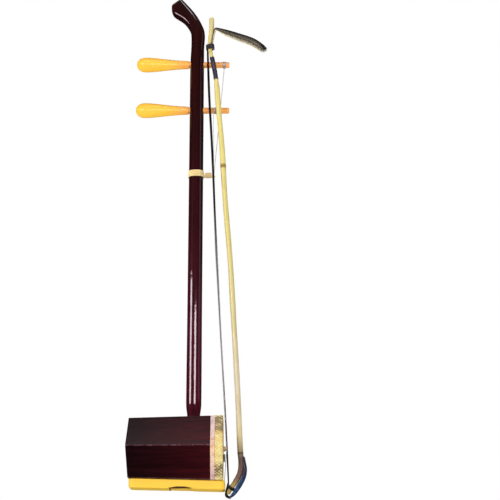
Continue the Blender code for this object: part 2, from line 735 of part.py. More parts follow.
def make_qianjin_loop():
    """The thread loop that pulls the strings back towards the neck and sets their speaking length."""
    thread_r = 0.0007
    near_x = NECK_X + NECK_HALF_X + GAP + 0.0012 + GAP + thread_r
    far_x = QIANJIN_STRING_X + STRING_R["inner"] + 2 * GAP + thread_r
    half_width = QIANJIN_STRING_Y + STRING_R["inner"] + 2 * GAP + thread_r
    end_r = half_width
    steps = 7
    path = []
    for i in range(steps):
        angle = math.radians(-90 + 180 * i / (steps - 1))
        path.append(Vector((far_x - end_r * (1 - math.cos(angle)) * 0.6, end_r * math.sin(angle), QIANJIN_Z)))
    path.append(Vector(((near_x + far_x) / 2, half_width * 0.72, QIANJIN_Z)))
    for i in range(steps):
        angle = math.radians(90 + 180 * i / (steps - 1))
        path.append(Vector((near_x + 0.002 * (1 + math.cos(angle)), 0.0024 * math.sin(angle), QIANJIN_Z)))
    path.append(Vector(((near_x + far_x) / 2, -half_width * 0.72, QIANJIN_Z)))
    bm = tube(path, [thread_r] * len(path), Vector((0, 0, 1)), sides=10, closed=True)
    return link_mesh("qianjin_loop", bm, THREAD, 80)


# ---------------------------------------------------------------- bow

STRINGS_UP = Vector((QIANJIN_STRING_X - BRIDGE_STRING_X, 0, QIANJIN_Z - BRIDGE_Z)).normalized()
STRINGS_FRONT = Vector((STRINGS_UP.z, 0, -STRINGS_UP.x))
RIGHT = Vector((0, -1, 0))
BOW_PIVOT = Vector((BRIDGE_STRING_X + STRINGS_UP.x / STRINGS_UP.z * (BOW_PIVOT_Z - BRIDGE_Z), 0, BOW_PIVOT_Z))
BOW_AXIS = STRINGS_FRONT * math.cos(BOW_LEAN) + RIGHT * math.sin(BOW_LEAN)
BOW_SWING = BOW_AXIS.cross(STRINGS_UP)
BOW_UP = STRINGS_UP * math.cos(BOW_REST_TILT) + BOW_SWING * math.sin(BOW_REST_TILT)
BOW_SIDE = BOW_AXIS.cross(BOW_UP)

# (along the hair from the pivot, out from the hair towards the stick)
HAIR_LINE = ((-0.133, -0.0013), (-0.110, -0.0009), (-0.084, -0.0005), (-0.040, -0.0001), (0.0, 0.0), (0.100, 0.0),
             (0.170, 0.0001), (0.200, 0.0003), (0.230, 0.0010), (0.277, 0.0020), (0.316, 0.0028),
             (0.370, 0.0035), (0.433, 0.0036), (0.485, 0.0047), (0.522, 0.0058))
# the stick, with its radius as a third number
STICK_LINE = ((0.562, 0.0154, 0.0037), (0.544, 0.0139, 0.0037), (0.531, 0.0113, 0.0033), (0.521, 0.0097, 0.0030),
              (0.512, 0.0098, 0.0030), (0.500, 0.0118, 0.0029), (0.482, 0.0146, 0.0029), (0.465, 0.0164, 0.0029),
              (0.452, 0.0172, 0.0037), (0.433, 0.0173, 0.0040), (0.405, 0.0181, 0.0038), (0.351, 0.0196, 0.0039),
              (0.274, 0.0196, 0.0038), (0.184, 0.0217, 0.0038), (0.125, 0.0216, 0.0039), (0.052, 0.0214, 0.0038),
              (-0.018, 0.0209, 0.0039), (-0.085, 0.0196, 0.0039), (-0.101, 0.0200, 0.0040), (-0.112, 0.0192, 0.0041),
              (-0.121, 0.0160, 0.0040), (-0.1305, 0.0090, 0.0037), (-0.139, 0.0016, 0.0032),
              (-0.145, -0.0025, 0.0028))
SLEEVE_FROM = 0.463
SLEEVE_TO = 0.499
# the frog's shell: (inner edge along, inner edge out, outer edge along, outer edge out, half width)
FROG_SHELL = ((-0.0970, 0.0246, -0.0973, 0.0254, 0.0016), (-0.1045, 0.0246, -0.1050, 0.0262, 0.0031),
              (-0.1135, 0.0239, -0.1150, 0.0272, 0.0041), (-0.1238, 0.0202, -0.1265, 0.0244, 0.0044),
              (-0.1334, 0.0127, -0.1375, 0.0173, 0.0044), (-0.1424, 0.0060, -0.1463, 0.0091, 0.0041),
              (-0.1482, 0.0007, -0.1506, 0.0026, 0.0034), (-0.1500, -0.0020, -0.1512, -0.0010, 0.0020))
# the tail of spare hair: (along, out, half thickness, half width)
TAIL_LINE = ((0.5125, 0.0139, 0.0009, 0.0019), (0.521, 0.0140, 0.0009, 0.0020), (0.530, 0.0159, 0.0010, 0.0022),
             (0.537, 0.0179, 0.0011, 0.0024), (0.5432, 0.0208, 0.0018, 0.0028), (0.5408, 0.0262, 0.0028, 0.0034),
             (0.5320, 0.0400, 0.0050, 0.0048), (0.5205, 0.0590, 0.0060, 0.0060), (0.5095, 0.0770, 0.0063, 0.0064),
             (0.4985, 0.0900, 0.0058, 0.0062), (0.4900, 0.0980, 0.0050, 0.0054))
BINDING_NEAR = (-0.1360, 0.0042)
BINDING_FAR = (-0.1398, 0.0010)


def bow_point(along, out):
    """A place in the bow's own plane."""
    return BOW_PIVOT + BOW_UP * along + BOW_AXIS * out


def make_bow_hair():
    """The flat ribbon of hair that runs between the two strings."""
    path = [bow_point(p.x, p.y) for p in smooth_path([(a, b) for a, b in HAIR_LINE], 2)]
    half_thick = HAIR_THICK / 2
    bm = tube(path, [half_thick] * len(path), BOW_SIDE, flat=HAIR_WIDTH / HAIR_THICK, sides=10)
    return link_mesh("bow_hair", bm, HAIR, 60)


def make_bow_stick():
    """A bamboo stick, thinned where the sleeve is, and bent round like a J at the hand's end."""
    rows = smooth_path(STICK_LINE, 2)
    path = [bow_point(row.x, row.y) for row in rows]
    bm = tube(path, [row.z for row in rows], BOW_SIDE, sides=BOW_SIDES)
    return link_mesh("bow_stick", bm, BAMBOO, 60)


def stick_at(along):
    """The stick's place and direction at a distance along the bow's straight part."""
    rows = smooth_path(STICK_LINE, 8)
    for low, high in zip(rows, rows[1:]):
        if high.x <= along <= low.x:
            t = (along - low.x) / (high.x - low.x)
            return low.lerp(high, t)
    return rows[0]


def make_sleeve():
    """A thin dark sleeve over the stick, below the hair's tie."""
    steps = 6
    inside = []
    outside = []
    for i in range(steps + 1):
        along = SLEEVE_TO + (SLEEVE_FROM - SLEEVE_TO) * i / steps
        row = stick_at(along)
        ahead = stick_at(along - 0.002)
        behind = stick_at(along + 0.002)
        direction = (bow_point(ahead.x, ahead.y) - bow_point(behind.x, behind.y)).normalized()
        across = direction.cross(BOW_SIDE)
        centre = bow_point(row.x, row.y)
        inner_r = row.z + GAP
        outer_r = inner_r + 0.0005
        inside.append(ring(centre, across * inner_r, BOW_SIDE * inner_r, 16))
        outside.append(ring(centre, across * outer_r, BOW_SIDE * outer_r, 16))
    return link_mesh("bow_tip_sleeve", loft(inside + outside[::-1], closed=True), TAPE, 60)


def make_tie():
    """The band of thread that holds the hair, its spare tail and the stick together."""
    low_out = 0.0045
    high_out = 0.0157
    middle = (low_out + high_out) / 2
    half_out = (high_out - low_out) / 2
    half_side = 0.0036
    thick = 0.0008
    rings = []
    for along, grow in ((0.5205, 0.0), (0.5205, thick * 0.6), (0.5195, thick), (0.5130, thick), (0.5120, thick * 0.6),
                        (0.5120, 0.0)):
        half_a = BOW_AXIS * (half_out + grow)
        half_b = BOW_SIDE * (half_side + grow)
        rings.append(ring(bow_point(along, middle), half_a, half_b, 24, 3.0))
    return link_mesh("bow_tip_tie", loft(rings, closed=True), HAIR, 60)


def make_tail():
    """The spare hair beyond the tie, which fans out and droops forward."""
    rows = smooth_path(TAIL_LINE, 2)
    path = [bow_point(row[0], row[1]) for row in rows]
    rings = []
    for i, row in enumerate(rows):
        direction = (path[min(i + 1, len(path) - 1)] - path[max(i - 1, 0)]).normalized()
        rings.append(ring(path[i], direction.cross(BOW_SIDE) * row[2], BOW_SIDE * row[3], 14))
    return link_mesh("hair_tail", loft(rings), HAIR, 60)


def make_frog():
    """The dark shell round the outside of the stick's bend, where the hand holds the bow."""
    rows = smooth_path(FROG_SHELL, 3)
    rings = []
    for row in rows:
        inner = bow_point(row[0], row[1])
        outer = bow_point(row[2], row[3])
        rings.append(ring((inner + outer) / 2, (outer - inner) / 2, BOW_SIDE * row[4], 12))
    return link_mesh("frog", loft(rings), FROG, 60)


def make_frog_binding():
    """A turn of thread round the end of the stick, where the hair is knotted on."""
    near = Vector(BINDING_NEAR)
    far = Vector(BINDING_FAR)
    direction = (bow_point(*far) - bow_point(*near)).normalized()
    across = direction.cross(BOW_SIDE)
    thick = 0.0007
    rings = []
    for t, grow in ((0, 0.0), (0, thick * 0.6), (0.3, thick), (0.7, thick), (1, thick * 0.6), (1, 0.0)):
        place = near.lerp(far, t)
        radius = 0.0034 + GAP + grow
        rings.append(ring(bow_point(*place), across * radius, BOW_SIDE * radius, 16))
    return link_mesh("frog_binding", loft(rings, closed=True), HAIR, 60)


# ---------------------------------------------------------------- assembly


def build():
    clear_scene()
    make_box()
    make_skin()
    make_binding()
    make_lattice()
    make_base()
    make_foot_screw()
    make_toggle()
    make_neck()
    make_peg("upper_peg", UPPER_PEG_Z)
    make_peg("lower_peg", LOWER_PEG_Z)
    make_winding("upper_winding", WINDING_X["upper"], UPPER_PEG_Z, STRING_R["inner"])
    make_winding("lower_winding", WINDING_X["lower"], LOWER_PEG_Z, STRING_R["outer"])
    make_strings()
    make_bridge()
    make_damper()
    make_qianjin_wrap()
    make_qianjin_loop()
    bow_pivot = make_pivot("bow_pivot", BOW_PIVOT)
    bow = [make_bow_hair(), make_bow_stick(), make_sleeve(), make_tie(), make_tail(), make_frog(),
           make_frog_binding()]
    hang_on(bow_pivot, bow)


build()
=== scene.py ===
"""Looks for the erhu: camera, soft studio light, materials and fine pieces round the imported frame."""
import random
from math import copysign, cos, exp, pi, radians, sin, sqrt, tau

import bmesh
import bpy
from mathutils import Matrix, Vector


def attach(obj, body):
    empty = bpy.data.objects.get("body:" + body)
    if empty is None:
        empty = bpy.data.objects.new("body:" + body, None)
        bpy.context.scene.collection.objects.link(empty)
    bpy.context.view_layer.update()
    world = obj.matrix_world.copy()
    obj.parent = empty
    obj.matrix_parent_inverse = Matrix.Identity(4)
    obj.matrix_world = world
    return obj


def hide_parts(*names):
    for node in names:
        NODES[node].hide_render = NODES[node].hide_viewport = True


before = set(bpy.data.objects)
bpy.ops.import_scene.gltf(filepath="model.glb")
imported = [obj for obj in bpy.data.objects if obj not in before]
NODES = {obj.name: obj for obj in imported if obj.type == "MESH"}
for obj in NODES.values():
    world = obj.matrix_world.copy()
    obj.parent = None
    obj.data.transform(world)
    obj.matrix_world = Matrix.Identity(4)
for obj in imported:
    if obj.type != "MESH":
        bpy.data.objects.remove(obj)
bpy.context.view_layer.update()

# ---- places that repeat the CAD model (metres)

NECK_X = 0.020
BOX_BACK_X = -0.0685
BOX_FRONT_X = 0.0615
BOX_FLATS_BACK = 0.0815
BOX_FLATS_FRONT = 0.088
BOX_AXIS_Z = 0.0552
RIDGE_OVERHANG = 0.0018
STAVE_THICK = 0.005
SKIN_SKIRT = 0.0108
SKIN_THICK = 0.0008
BINDING_WIDTH = 0.0062
GAP = 0.0003
NECK_HALF_X = 0.0104
NECK_HALF_Y = 0.0095
NECK_SQUARENESS = 2.5
PEG_Z = {"upper": 0.634, "lower": 0.560}
QIANJIN_WRAP_Z = 0.458
QIANJIN = Vector((0.0462, 0, 0.4555))
BRIDGE = Vector((0.0662, 0, 0.056))
BOW_LEAN = radians(25)
BOW_REST_TILT = radians(1.42)
BOW_PIVOT_Z = 0.140

# the bow's own plane: up the strings, and out from the hair towards the stick
STRINGS_UP = (QIANJIN - BRIDGE).normalized()
STRINGS_FRONT = Vector((STRINGS_UP.z, 0, -STRINGS_UP.x))
BOW_PIVOT = BRIDGE + STRINGS_UP * ((BOW_PIVOT_Z - BRIDGE.z) / STRINGS_UP.z)
BOW_AXIS = STRINGS_FRONT * cos(BOW_LEAN) + Vector((0, -1, 0)) * sin(BOW_LEAN)
BOW_UP = STRINGS_UP * cos(BOW_REST_TILT) + BOW_AXIS.cross(STRINGS_UP) * sin(BOW_REST_TILT)
BOW_SIDE = BOW_AXIS.cross(BOW_UP)


def millimetres(rows):
    """A table of lengths in millimetres as metres."""
    return tuple(tuple(value / 1000 for value in row) for row in rows)


# the hair's middle: (along the bow from its pivot, out from the hair towards the stick)
HAIR_LINE = millimetres((
    (-133, -1.3), (-110, -0.9), (-84, -0.5), (-40, -0.1), (0, 0), (100, 0), (170, 0.1), (200, 0.3),
    (230, 1), (277, 2), (316, 2.8), (370, 3.5), (433, 3.6), (485, 4.7), (522, 5.8)))
# the stick: (along, out, radius)
STICK_LINE = millimetres((
    (562, 15.4, 3.7), (544, 13.9, 3.7), (531, 11.3, 3.3), (521, 9.7, 3), (512, 9.8, 3), (500, 11.8, 2.9),
    (482, 14.6, 2.9), (465, 16.4, 2.9), (452, 17.2, 3.7), (433, 17.3, 4), (405, 18.1, 3.8),
    (351, 19.6, 3.9), (274, 19.6, 3.8), (184, 21.7, 3.8), (125, 21.6, 3.9), (52, 21.4, 3.8),
    (-18, 20.9, 3.9), (-85, 19.6, 3.9), (-101, 20, 4), (-112, 19.2, 4.1), (-121, 16, 4), (-130.5, 9, 3.7),
    (-139, 1.6, 3.2), (-145, -2.5, 2.8)))
# the shell round the hook: (inner along, inner out, outer along, outer out, half width)
FROG_SHELL = millimetres((
    (-97, 24.6, -97.3, 25.4, 1.6), (-104.5, 24.6, -105, 26.2, 3.1), (-113.5, 23.9, -115, 27.2, 4.1),
    (-123.8, 20.2, -126.5, 24.4, 4.4), (-133.4, 12.7, -137.5, 17.3, 4.4), (-142.4, 6, -146.3, 9.1, 4.1),
    (-148.2, 0.7, -150.6, 2.6, 3.4), (-150, -2, -151.2, -1, 2)))
# the spare hair: (along, out, half thickness, half width)
TAIL_LINE = millimetres((
    (512.5, 13.9, 0.9, 1.9), (521, 14, 0.9, 2), (530, 15.9, 1, 2.2), (537, 17.9, 1.1, 2.4),
    (543.2, 20.8, 1.8, 2.8), (540.8, 26.2, 2.8, 3.4), (532, 40, 5, 4.8), (520.5, 59, 6, 6),
    (509.5, 77, 6.3, 6.4), (498.5, 90, 5.8, 6.2), (490, 98, 5, 5.4)))

# ---- camera, light, stage

FLOOR_Z = -0.40
FLOOR_RADIUS = 9.0
CAMERA_PLACE = (0.0866, -1.7159, -0.1615)
CAMERA_TURN_DEG = -0.4165
CAMERA_UP_DEG = 15.46           # how far it looks up from level
CAMERA_ROLL_DEG = -0.12
LENS_MM = 88.96
FRAME_SHIFT = 0.04
DOME_RAMP = ((0.45, (0.016, 0.014, 0.016)), (1.0, (0.15, 0.13, 0.15)))
WHITE = (1.0, 1.0, 1.0)
BLACK = (0.0, 0.0, 0.0)


def add_object(name, data):
    """An object in the scene."""
    obj = bpy.data.objects.new(name, data)
    bpy.context.scene.collection.objects.link(obj)
    return obj


def make_camera():
    """The camera stands almost square to the instrument's side, below its middle, and looks up."""
    data = bpy.data.cameras.new("camera")
    data.sensor_width = 36.0
    data.lens = LENS_MM
    data.shift_y = FRAME_SHIFT
    data.clip_start = 0.05
    data.clip_end = 50.0
    camera = add_object("camera", data)
    turn = Matrix.Rotation(radians(CAMERA_TURN_DEG), 4, "Z")
    tilt = Matrix.Rotation(radians(90 + CAMERA_UP_DEG), 4, "X")
    roll = Matrix.Rotation(radians(CAMERA_ROLL_DEG), 4, "Z")
    camera.matrix_world = Matrix.Translation(CAMERA_PLACE) @ turn @ tilt @ roll
    bpy.context.scene.camera = camera


def area_light(name, place, target, width, height, watts, colour=WHITE, mirrored=True):
    """A soft box that faces its target. If it isn't mirrored, it lights without a reflection of itself."""
    data = bpy.data.lights.new(name, "AREA")
    data.shape = "RECTANGLE"
    data.size = width
    data.size_y = height
    data.energy = watts
    data.color = colour
    light = add_object(name, data)
    light.location = place
    light.rotation_euler = (Vector(target) - Vector(place)).to_track_quat("-Z", "Y").to_euler()
    light.visible_glossy = mirrored


def make_lights():
    """Soft lights all round, two low boxes whose reflections run down the neck, and one for the ridges."""
    middle = (0.02, 0, 0.36)
    lavender = (1.0, 0.87, 0.95)
    area_light("key", (-0.9, -2.3, 1.5), middle, 2.2, 1.8, 8, (1.0, 0.98, 0.96), mirrored=False)
    area_light("fill", (1.4, -1.8, 0.3), middle, 1.6, 1.6, 4, (0.97, 0.98, 1.0), mirrored=False)
    area_light("back", (0.6, 2.0, 0.9), middle, 1.8, 1.6, 28, mirrored=False)
    area_light("back_left", (-1.8, 0.6, 0.9), middle, 1.4, 1.4, 16, mirrored=False)
    area_light("box_left", (-0.88, -1.20, 0.50), (0.02, 0, 0.2), 0.62, 0.40, 12.5, lavender)
    area_light("box_front", (0.155, -1.494, 0.46), (0.02, 0, 0.2), 0.30, 0.32, 5.2, lavender)
    area_light("ridge", (-0.06, -0.9, 1.60), (0.0, 0, 0.06), 0.8, 0.2, 4)
    area_light("cool", (1.5, -0.9, 1.0), (0.02, 0, 0.5), 0.9, 1.2, 3.0, (0.55, 0.65, 1.0))
    area_light("top", (0.0, -0.3, 2.2), middle, 1.6, 1.2, 8, mirrored=False)
    area_light("front", (2.3, 0.3, 0.6), middle, 1.6, 1.6, 14, mirrored=False)


def make_world():
    """White where the camera looks past the object, and a dim dome, darker below, for everything else."""
    world = bpy.data.worlds.new("studio")
    bpy.context.scene.world = world
    world.use_nodes = True
    tree = world.node_tree
    tree.nodes.clear()
    kinds = ("Background", "Background", "TexCoord", "SeparateXYZ", "ValToRGB", "LightPath", "MixShader",
             "OutputWorld")
    white, dome, coords, split, ramp, path, mix, out = [tree.nodes.new("ShaderNode" + k) for k in kinds]
    for start, end in ((coords.outputs["Generated"], split.inputs[0]), (split.outputs["Z"], ramp.inputs[0]),
                       (ramp.outputs[0], dome.inputs[0]), (path.outputs["Is Camera Ray"], mix.inputs[0]),
                       (dome.outputs[0], mix.inputs[1]), (white.outputs[0], mix.inputs[2]),
                       (mix.outputs[0], out.inputs[0])):
        tree.links.new(start, end)
    for element, (position, colour) in zip(ramp.color_ramp.elements, DOME_RAMP):
        element.position = position
        element.color = (*colour, 1)
    white.inputs[0].default_value = (*WHITE, 1)
    bpy.context.scene.view_settings.view_transform = "Standard"


def make_floor():
    """A plain pale floor, well below the instrument because the bow hangs past its base."""
    mesh = bpy.data.meshes.new("floor")
    points = [(FLOOR_RADIUS * c, FLOOR_RADIUS * s, FLOOR_Z) for c, s in circle(96)]
    mesh.from_pydata(points, [], [tuple(range(len(points)))])
    floor = add_object("floor", mesh)
    look = Look("floor_pale", roughness=0.9, specular=0.1)
    cloud = look.noise(2, 3)
    look.colour(look.ramp(cloud, 0.3, (0.42, 0.42, 0.42), 0.7, (0.44, 0.44, 0.44)))
    look.set("Emission Color", look.ramp(cloud, 0.3, (0.88, 0.88, 0.88), 0.7, (0.90, 0.90, 0.90)))
    look.shader.inputs["Emission Strength"].default_value = 1.0
    mesh.materials.append(look.material)
    floor.visible_glossy = False


# ---- materials


class Look:
    """A node material on a Principled shader, with short calls for the usual nodes."""

    def __init__(self, name, roughness, metallic=0.0, coat=0.0, coat_roughness=0.08, sheen=0.0,
                 specular=0.5):
        self.material = bpy.data.materials.new(name)
        self.material.use_nodes = True
        self.tree = self.material.node_tree
        self.shader = self.tree.nodes["Principled BSDF"]
        for socket, value in (("Roughness", roughness), ("Metallic", metallic), ("Coat Weight", coat),
                              ("Coat Roughness", coat_roughness), ("Sheen Weight", sheen),
                              ("Specular IOR Level", specular)):
            self.shader.inputs[socket].default_value = value

    def node(self, kind, **settings):
        made = self.tree.nodes.new("ShaderNode" + kind)
        for key, value in settings.items():
            setattr(made, key, value)
        return made

    def feed(self, socket, value):
        """Put a number, a colour or another node's output into a socket."""
        if hasattr(value, "is_output"):
            self.tree.links.new(value, socket)
        elif isinstance(value, (int, float)):
            socket.default_value = value
        else:
            socket.default_value = (*value, 1.0) if len(value) == 3 and socket.type == "RGBA" else value

    def set(self, name, value):
        self.feed(self.shader.inputs[name], value)

    def texture(self, kind, density, turn, settings):
        """A texture in the object's own space. density is its features per metre, one number or three."""
        mapping = self.node("Mapping")
        self.feed(mapping.inputs["Vector"], self.node("TexCoord").outputs["Object"])
        mapping.inputs["Scale"].default_value = density if isinstance(density, tuple) else (density,) * 3
        mapping.inputs["Rotation"].default_value = turn
        made = self.node(kind)
        self.feed(made.inputs["Vector"], mapping.outputs[0])
        made.inputs["Scale"].default_value = 1.0
        for name, value in settings.items():
            made.inputs[name].default_value = value
        return made

    def noise(self, density, detail, distortion=0.0, roughness=0.5):
        settings = {"Detail": detail, "Distortion": distortion, "Roughness": roughness}
        return self.texture("TexNoise", density, (0, 0, 0), settings).outputs[0]

    def wave(self, density, distortion, detail, direction="X", turn=(0, 0, 0)):
        made = self.texture("TexWave", density, turn, {"Distortion": distortion, "Detail": detail})
        made.bands_direction = direction
        return made.outputs["Fac"]

    def axis(self, name):
        """The object's own X, Y or Z in metres."""
        split = self.node("SeparateXYZ")
        self.feed(split.inputs[0], self.node("TexCoord").outputs["Object"])
        return split.outputs[name]

    def span(self, value, low, high, to_low=0.0, to_high=1.0):
        made = self.node("MapRange")
        for index, number in enumerate((value, low, high, to_low, to_high)):
            self.feed(made.inputs[index], number)
        return made.outputs[0]

    def math(self, operation, a, b=0.0):
        made = self.node("Math", operation=operation)
        self.feed(made.inputs[0], a)
        self.feed(made.inputs[1], b)
        return made.outputs[0]

    def times(self, a, b):
        return self.math("MULTIPLY", a, b)

    def near(self, axis, middle, half):
        """1 where a coordinate lies within half a width of a middle, and 0 elsewhere."""
        away = self.math("ABSOLUTE", self.math("SUBTRACT", self.axis(axis), middle))
        return self.math("LESS_THAN", away, half)

    def ramp(self, factor, *stops):
        """Colours that follow a factor. stops is a position, its colour, the next position and so on."""
        made = self.node("ValToRGB")
        self.feed(made.inputs[0], factor)
        elements = made.color_ramp.elements
        while len(elements) < len(stops) // 2:
            elements.new(0.5)
        for element, position, colour in zip(elements, stops[::2], stops[1::2]):
            element.position = position
            element.color = (*colour, 1.0)
        return made.outputs[0]

    def mix(self, factor, a, b, blend="MIX"):
        made = self.node("Mix", data_type="RGBA", blend_type=blend)
        for index, value in ((0, factor), (6, a), (7, b)):
            self.feed(made.inputs[index], value)
        return made.outputs[2]

    def tint(self, ground, colour, amount=1.0):
        """The ground multiplied by a colour, by some amount of the full effect."""
        return self.mix(amount, ground, colour, "MULTIPLY")

    def colour(self, value):
        self.set("Base Color", value)

    def gloss(self, factor, low, high):
        """Roughness that follows a texture's middle range."""
        self.set("Roughness", self.span(factor, 0.3, 0.7, low, high))

    def bump(self, height, distance, strength=0.6, socket="Normal"):
        made = self.node("Bump")
        made.inputs["Strength"].default_value = strength
        made.inputs["Distance"].default_value = distance
        self.feed(made.inputs["Height"], height)
        self.set(socket, made.outputs[0])

    def attribute(self, name):
        return self.node("Attribute", attribute_name=name).outputs["Fac"]


def grain_scale(along, across, lengthwise):
    """Texture density for wood whose grain runs along an axis."""
    return tuple(lengthwise if axis == along else across for axis in "xyz")


def lacquer_look(name, along, start, end, blend, waves=0.0, coat=1.0, haze=0.05):
    """Very dark rosewood under a thick gloss lacquer, paler along marked ridges as a painted highlight.

    Its colour goes from start to end over blend, which is an axis and two places on it.
    """
    look = Look(name, roughness=0.36, coat=coat, coat_roughness=haze, specular=0.04)
    fibres = look.noise(grain_scale(along, 800, 14), 6, 0.4, 0.6)
    figure = look.noise(grain_scale(along, 60, 4), 3, 1.2)
    ground = look.mix(look.span(look.axis(blend[0]), *blend[1:]), start, end)
    lines = look.ramp(figure, 0.30, (0.62, 0.50, 0.55), 0.55, WHITE, 0.75, (1.45, 1.15, 1.1))
    pores = look.ramp(fibres, 0.38, (0.55, 0.50, 0.55), 0.56, WHITE)
    wood = look.tint(look.tint(ground, lines), pores)
    # painted highlight: on points marked as ridges, broken streaks of paler pink lacquer stand for the
    # light the ridges catch
    ridge_glint_mask = look.times(look.attribute("edge"), look.noise(260, 5, 0.4, 0.7))
    wear_and_glint = look.span(ridge_glint_mask, 0.40, 0.62)
    look.colour(look.mix(wear_and_glint, wood, (0.13, 0.060, 0.075)))
    look.gloss(fibres, 0.44, 0.30)
    ripple = look.noise(grain_scale(along, 170, 75), 3, 0.3)
    look.bump(look.mix(waves, fibres, ripple), 0.00022, 0.30)
    look.bump(ripple, 0.0006 * waves, 0.28, "Coat Normal")
    return look


# the ringed band on a peg's shaft, in front of the neck: (middle x, half width)
RUBBED_BAND = (NECK_X + 0.019, 0.0065)
# the hollow in the base's near edge, which the base's material darkens as painted shade: (middle, half
# length), (middle, half height), and the y of its mouth
HOLLOW_X = (0.0035, 0.0155)
HOLLOW_Z = (0.0015, 0.00125)
HOLLOW_MOUTH_Y = -0.02085


def yellow_wood_look(name, along, pale, deep, shaft=None):
    """Softly polished yellow boxwood. A peg turns orange where its shaft was rubbed and stained."""
    look = Look(name, roughness=0.42, coat=0.25, coat_roughness=0.18, specular=0.35)
    fibres = look.noise(grain_scale(along, 900, 16), 5, 0.5, 0.6)
    figure = look.noise(grain_scale(along, 150, 9), 3, 0.8)
    wood = look.ramp(look.mix(0.35, figure, fibres), 0.30, deep, 0.60, pale)
    if shaft:
        reach = look.span(look.axis("X"), NECK_X - 0.045, NECK_X - 0.008)
        rubbed = look.ramp(figure, 0.35, tuple(c * 0.80 for c in shaft), 0.6, shaft)
        rings = look.wave((330, 40, 40), 1.2, 2)
        marks = look.times(look.span(rings, 0.45, 0.8, 0.0, 0.6), look.near("X", *RUBBED_BAND))
        rubbed = look.mix(marks, rubbed, (0.22, 0.065, 0.022))
        wood = look.mix(reach, wood, rubbed)
    specks = look.ramp(look.noise(420, 2), 0.62, WHITE, 0.74, (0.80, 0.70, 0.55))
    look.colour(look.tint(wood, specks, 0.5))
    look.gloss(fibres, 0.5, 0.36)
    look.bump(fibres, 0.00015, 0.4)
    return look


def base_look():
    """The base's yellow wood, with painted shade darkening the hollow in its near edge."""
    look = yellow_wood_look("base_wood", "x", (0.82, 0.53, 0.038), (0.78, 0.48, 0.028))
    wood = look.shader.inputs["Base Color"].links[0].from_socket
    in_depth = look.math("GREATER_THAN", look.axis("Y"), HOLLOW_MOUTH_Y)
    hollow = look.times(look.times(look.near("X", *HOLLOW_X), look.near("Z", *HOLLOW_Z)), in_depth)
    # painted shade: inside the hollow the wood is coloured dark brown where shadow falls
    look.colour(look.mix(hollow, wood, (0.115, 0.045, 0.012)))
    return look


def bamboo_look():
    """Pale bamboo skin: long fibres, a tone that changes down the stick, a node ring and scorch marks."""
    look = Look("bamboo_skin", roughness=0.40, coat=0.2, coat_roughness=0.2, specular=0.35)
    height = look.span(look.axis("Z"), -0.01, 0.71)
    tone = look.ramp(
        height, 0.000, (0.46, 0.36, 0.10), 0.018, (0.58, 0.46, 0.13), 0.034, (0.20, 0.115, 0.085),
        0.072, (0.105, 0.070, 0.060), 0.092, (0.36, 0.32, 0.18), 0.115, (0.62, 0.57, 0.31),
        0.22, (0.60, 0.54, 0.36), 0.33, (0.55, 0.51, 0.24), 0.50, (0.60, 0.55, 0.19),
        0.76, (0.66, 0.60, 0.19), 0.90, (0.62, 0.56, 0.20), 1.0, (0.56, 0.50, 0.24))
    fibres = look.noise((1500, 1500, 16), 5, 0.3, 0.65)
    streaks = look.ramp(fibres, 0.32, (0.74, 0.66, 0.52), 0.60, WHITE)
    clouds = look.ramp(look.noise((160, 160, 22), 3), 0.56, WHITE, 0.80, (0.66, 0.50, 0.34))
    skin = look.tint(look.tint(tone, streaks, 0.75), clouds, 0.7)
    ring = look.ramp(look.attribute("ring"), 0.15, WHITE, 0.8, (0.42, 0.27, 0.12))
    look.colour(look.tint(skin, ring))
    look.gloss(fibres, 0.46, 0.30)
    look.bump(fibres, 0.00012, 0.5)
    return look


def python_look():
    """Cream and olive snake scales. The scales' edges and their tones are laid down with the mesh."""
    look = Look("python_scales", roughness=0.42, coat=0.22, coat_roughness=0.2, specular=0.45)
    cream = look.ramp(look.attribute("tone"), 0.0, (0.74, 0.68, 0.34), 0.5, (0.78, 0.69, 0.26),
                      1.0, (0.70, 0.55, 0.20))
    blotch = look.attribute("blotch")
    saddle = look.ramp(blotch, 0.30, BLACK, 0.55, (0.75, 0.75, 0.75))
    rim = look.ramp(look.attribute("edge"), 0.66, BLACK, 0.86, WHITE)
    scales = look.mix(saddle, cream, (0.64, 0.50, 0.21))
    patchy = look.ramp(look.noise(230, 3, 0.5), 0.42, BLACK, 0.56, WHITE)
    inside = look.ramp(blotch, 0.10, BLACK, 0.32, WHITE)
    dark = look.times(inside, look.math("MAXIMUM", rim, look.times(patchy, 0.75)))
    scales = look.mix(dark, scales, (0.085, 0.065, 0.028))
    honey = look.ramp(look.noise(95, 3, 1.0), 0.50, WHITE, 0.62, (0.98, 0.84, 0.52))
    scales = look.tint(scales, honey)
    crease = look.ramp(look.attribute("edge"), 0.70, WHITE, 0.98, (0.66, 0.56, 0.40))
    wrinkle = look.noise(900, 4)
    cloud = look.ramp(wrinkle, 0.35, (0.86, 0.82, 0.74), 0.6, WHITE)
    look.colour(look.tint(look.tint(scales, crease, 0.9), cloud, 0.6))
    look.gloss(wrinkle, 0.52, 0.34)
    look.bump(wrinkle, 0.0001, 0.5)
    return look


def cloth_look(name, top, middle, foot, threads):
    """A fine woven strip of two crossing sets of threads, soiled in places, whose tone shifts down the box.

    threads is how densely they lie.
    """
    look = Look(name, roughness=0.72, sheen=0.12, specular=0.3)
    warp = look.wave(threads, 0.6, 1, "X")
    weft = look.wave(threads, 0.6, 1, "Z")
    weave = look.times(warp, weft)
    soil = look.noise(140, 5, 0.8, 0.65)
    drift = look.mix(0.25, look.span(look.axis("Z"), 0.012, 0.098), soil)
    ground = look.ramp(drift, 0.15, foot, 0.45, middle, 0.80, top)
    stain = look.ramp(soil, 0.36, (0.70, 0.52, 0.42), 0.52, WHITE)
    shade = look.ramp(weave, 0.0, (0.88, 0.84, 0.80), 0.5, WHITE)
    look.colour(look.tint(look.tint(ground, stain, 0.8), shade))
    look.bump(weave, 0.0002, 0.6)
    return look


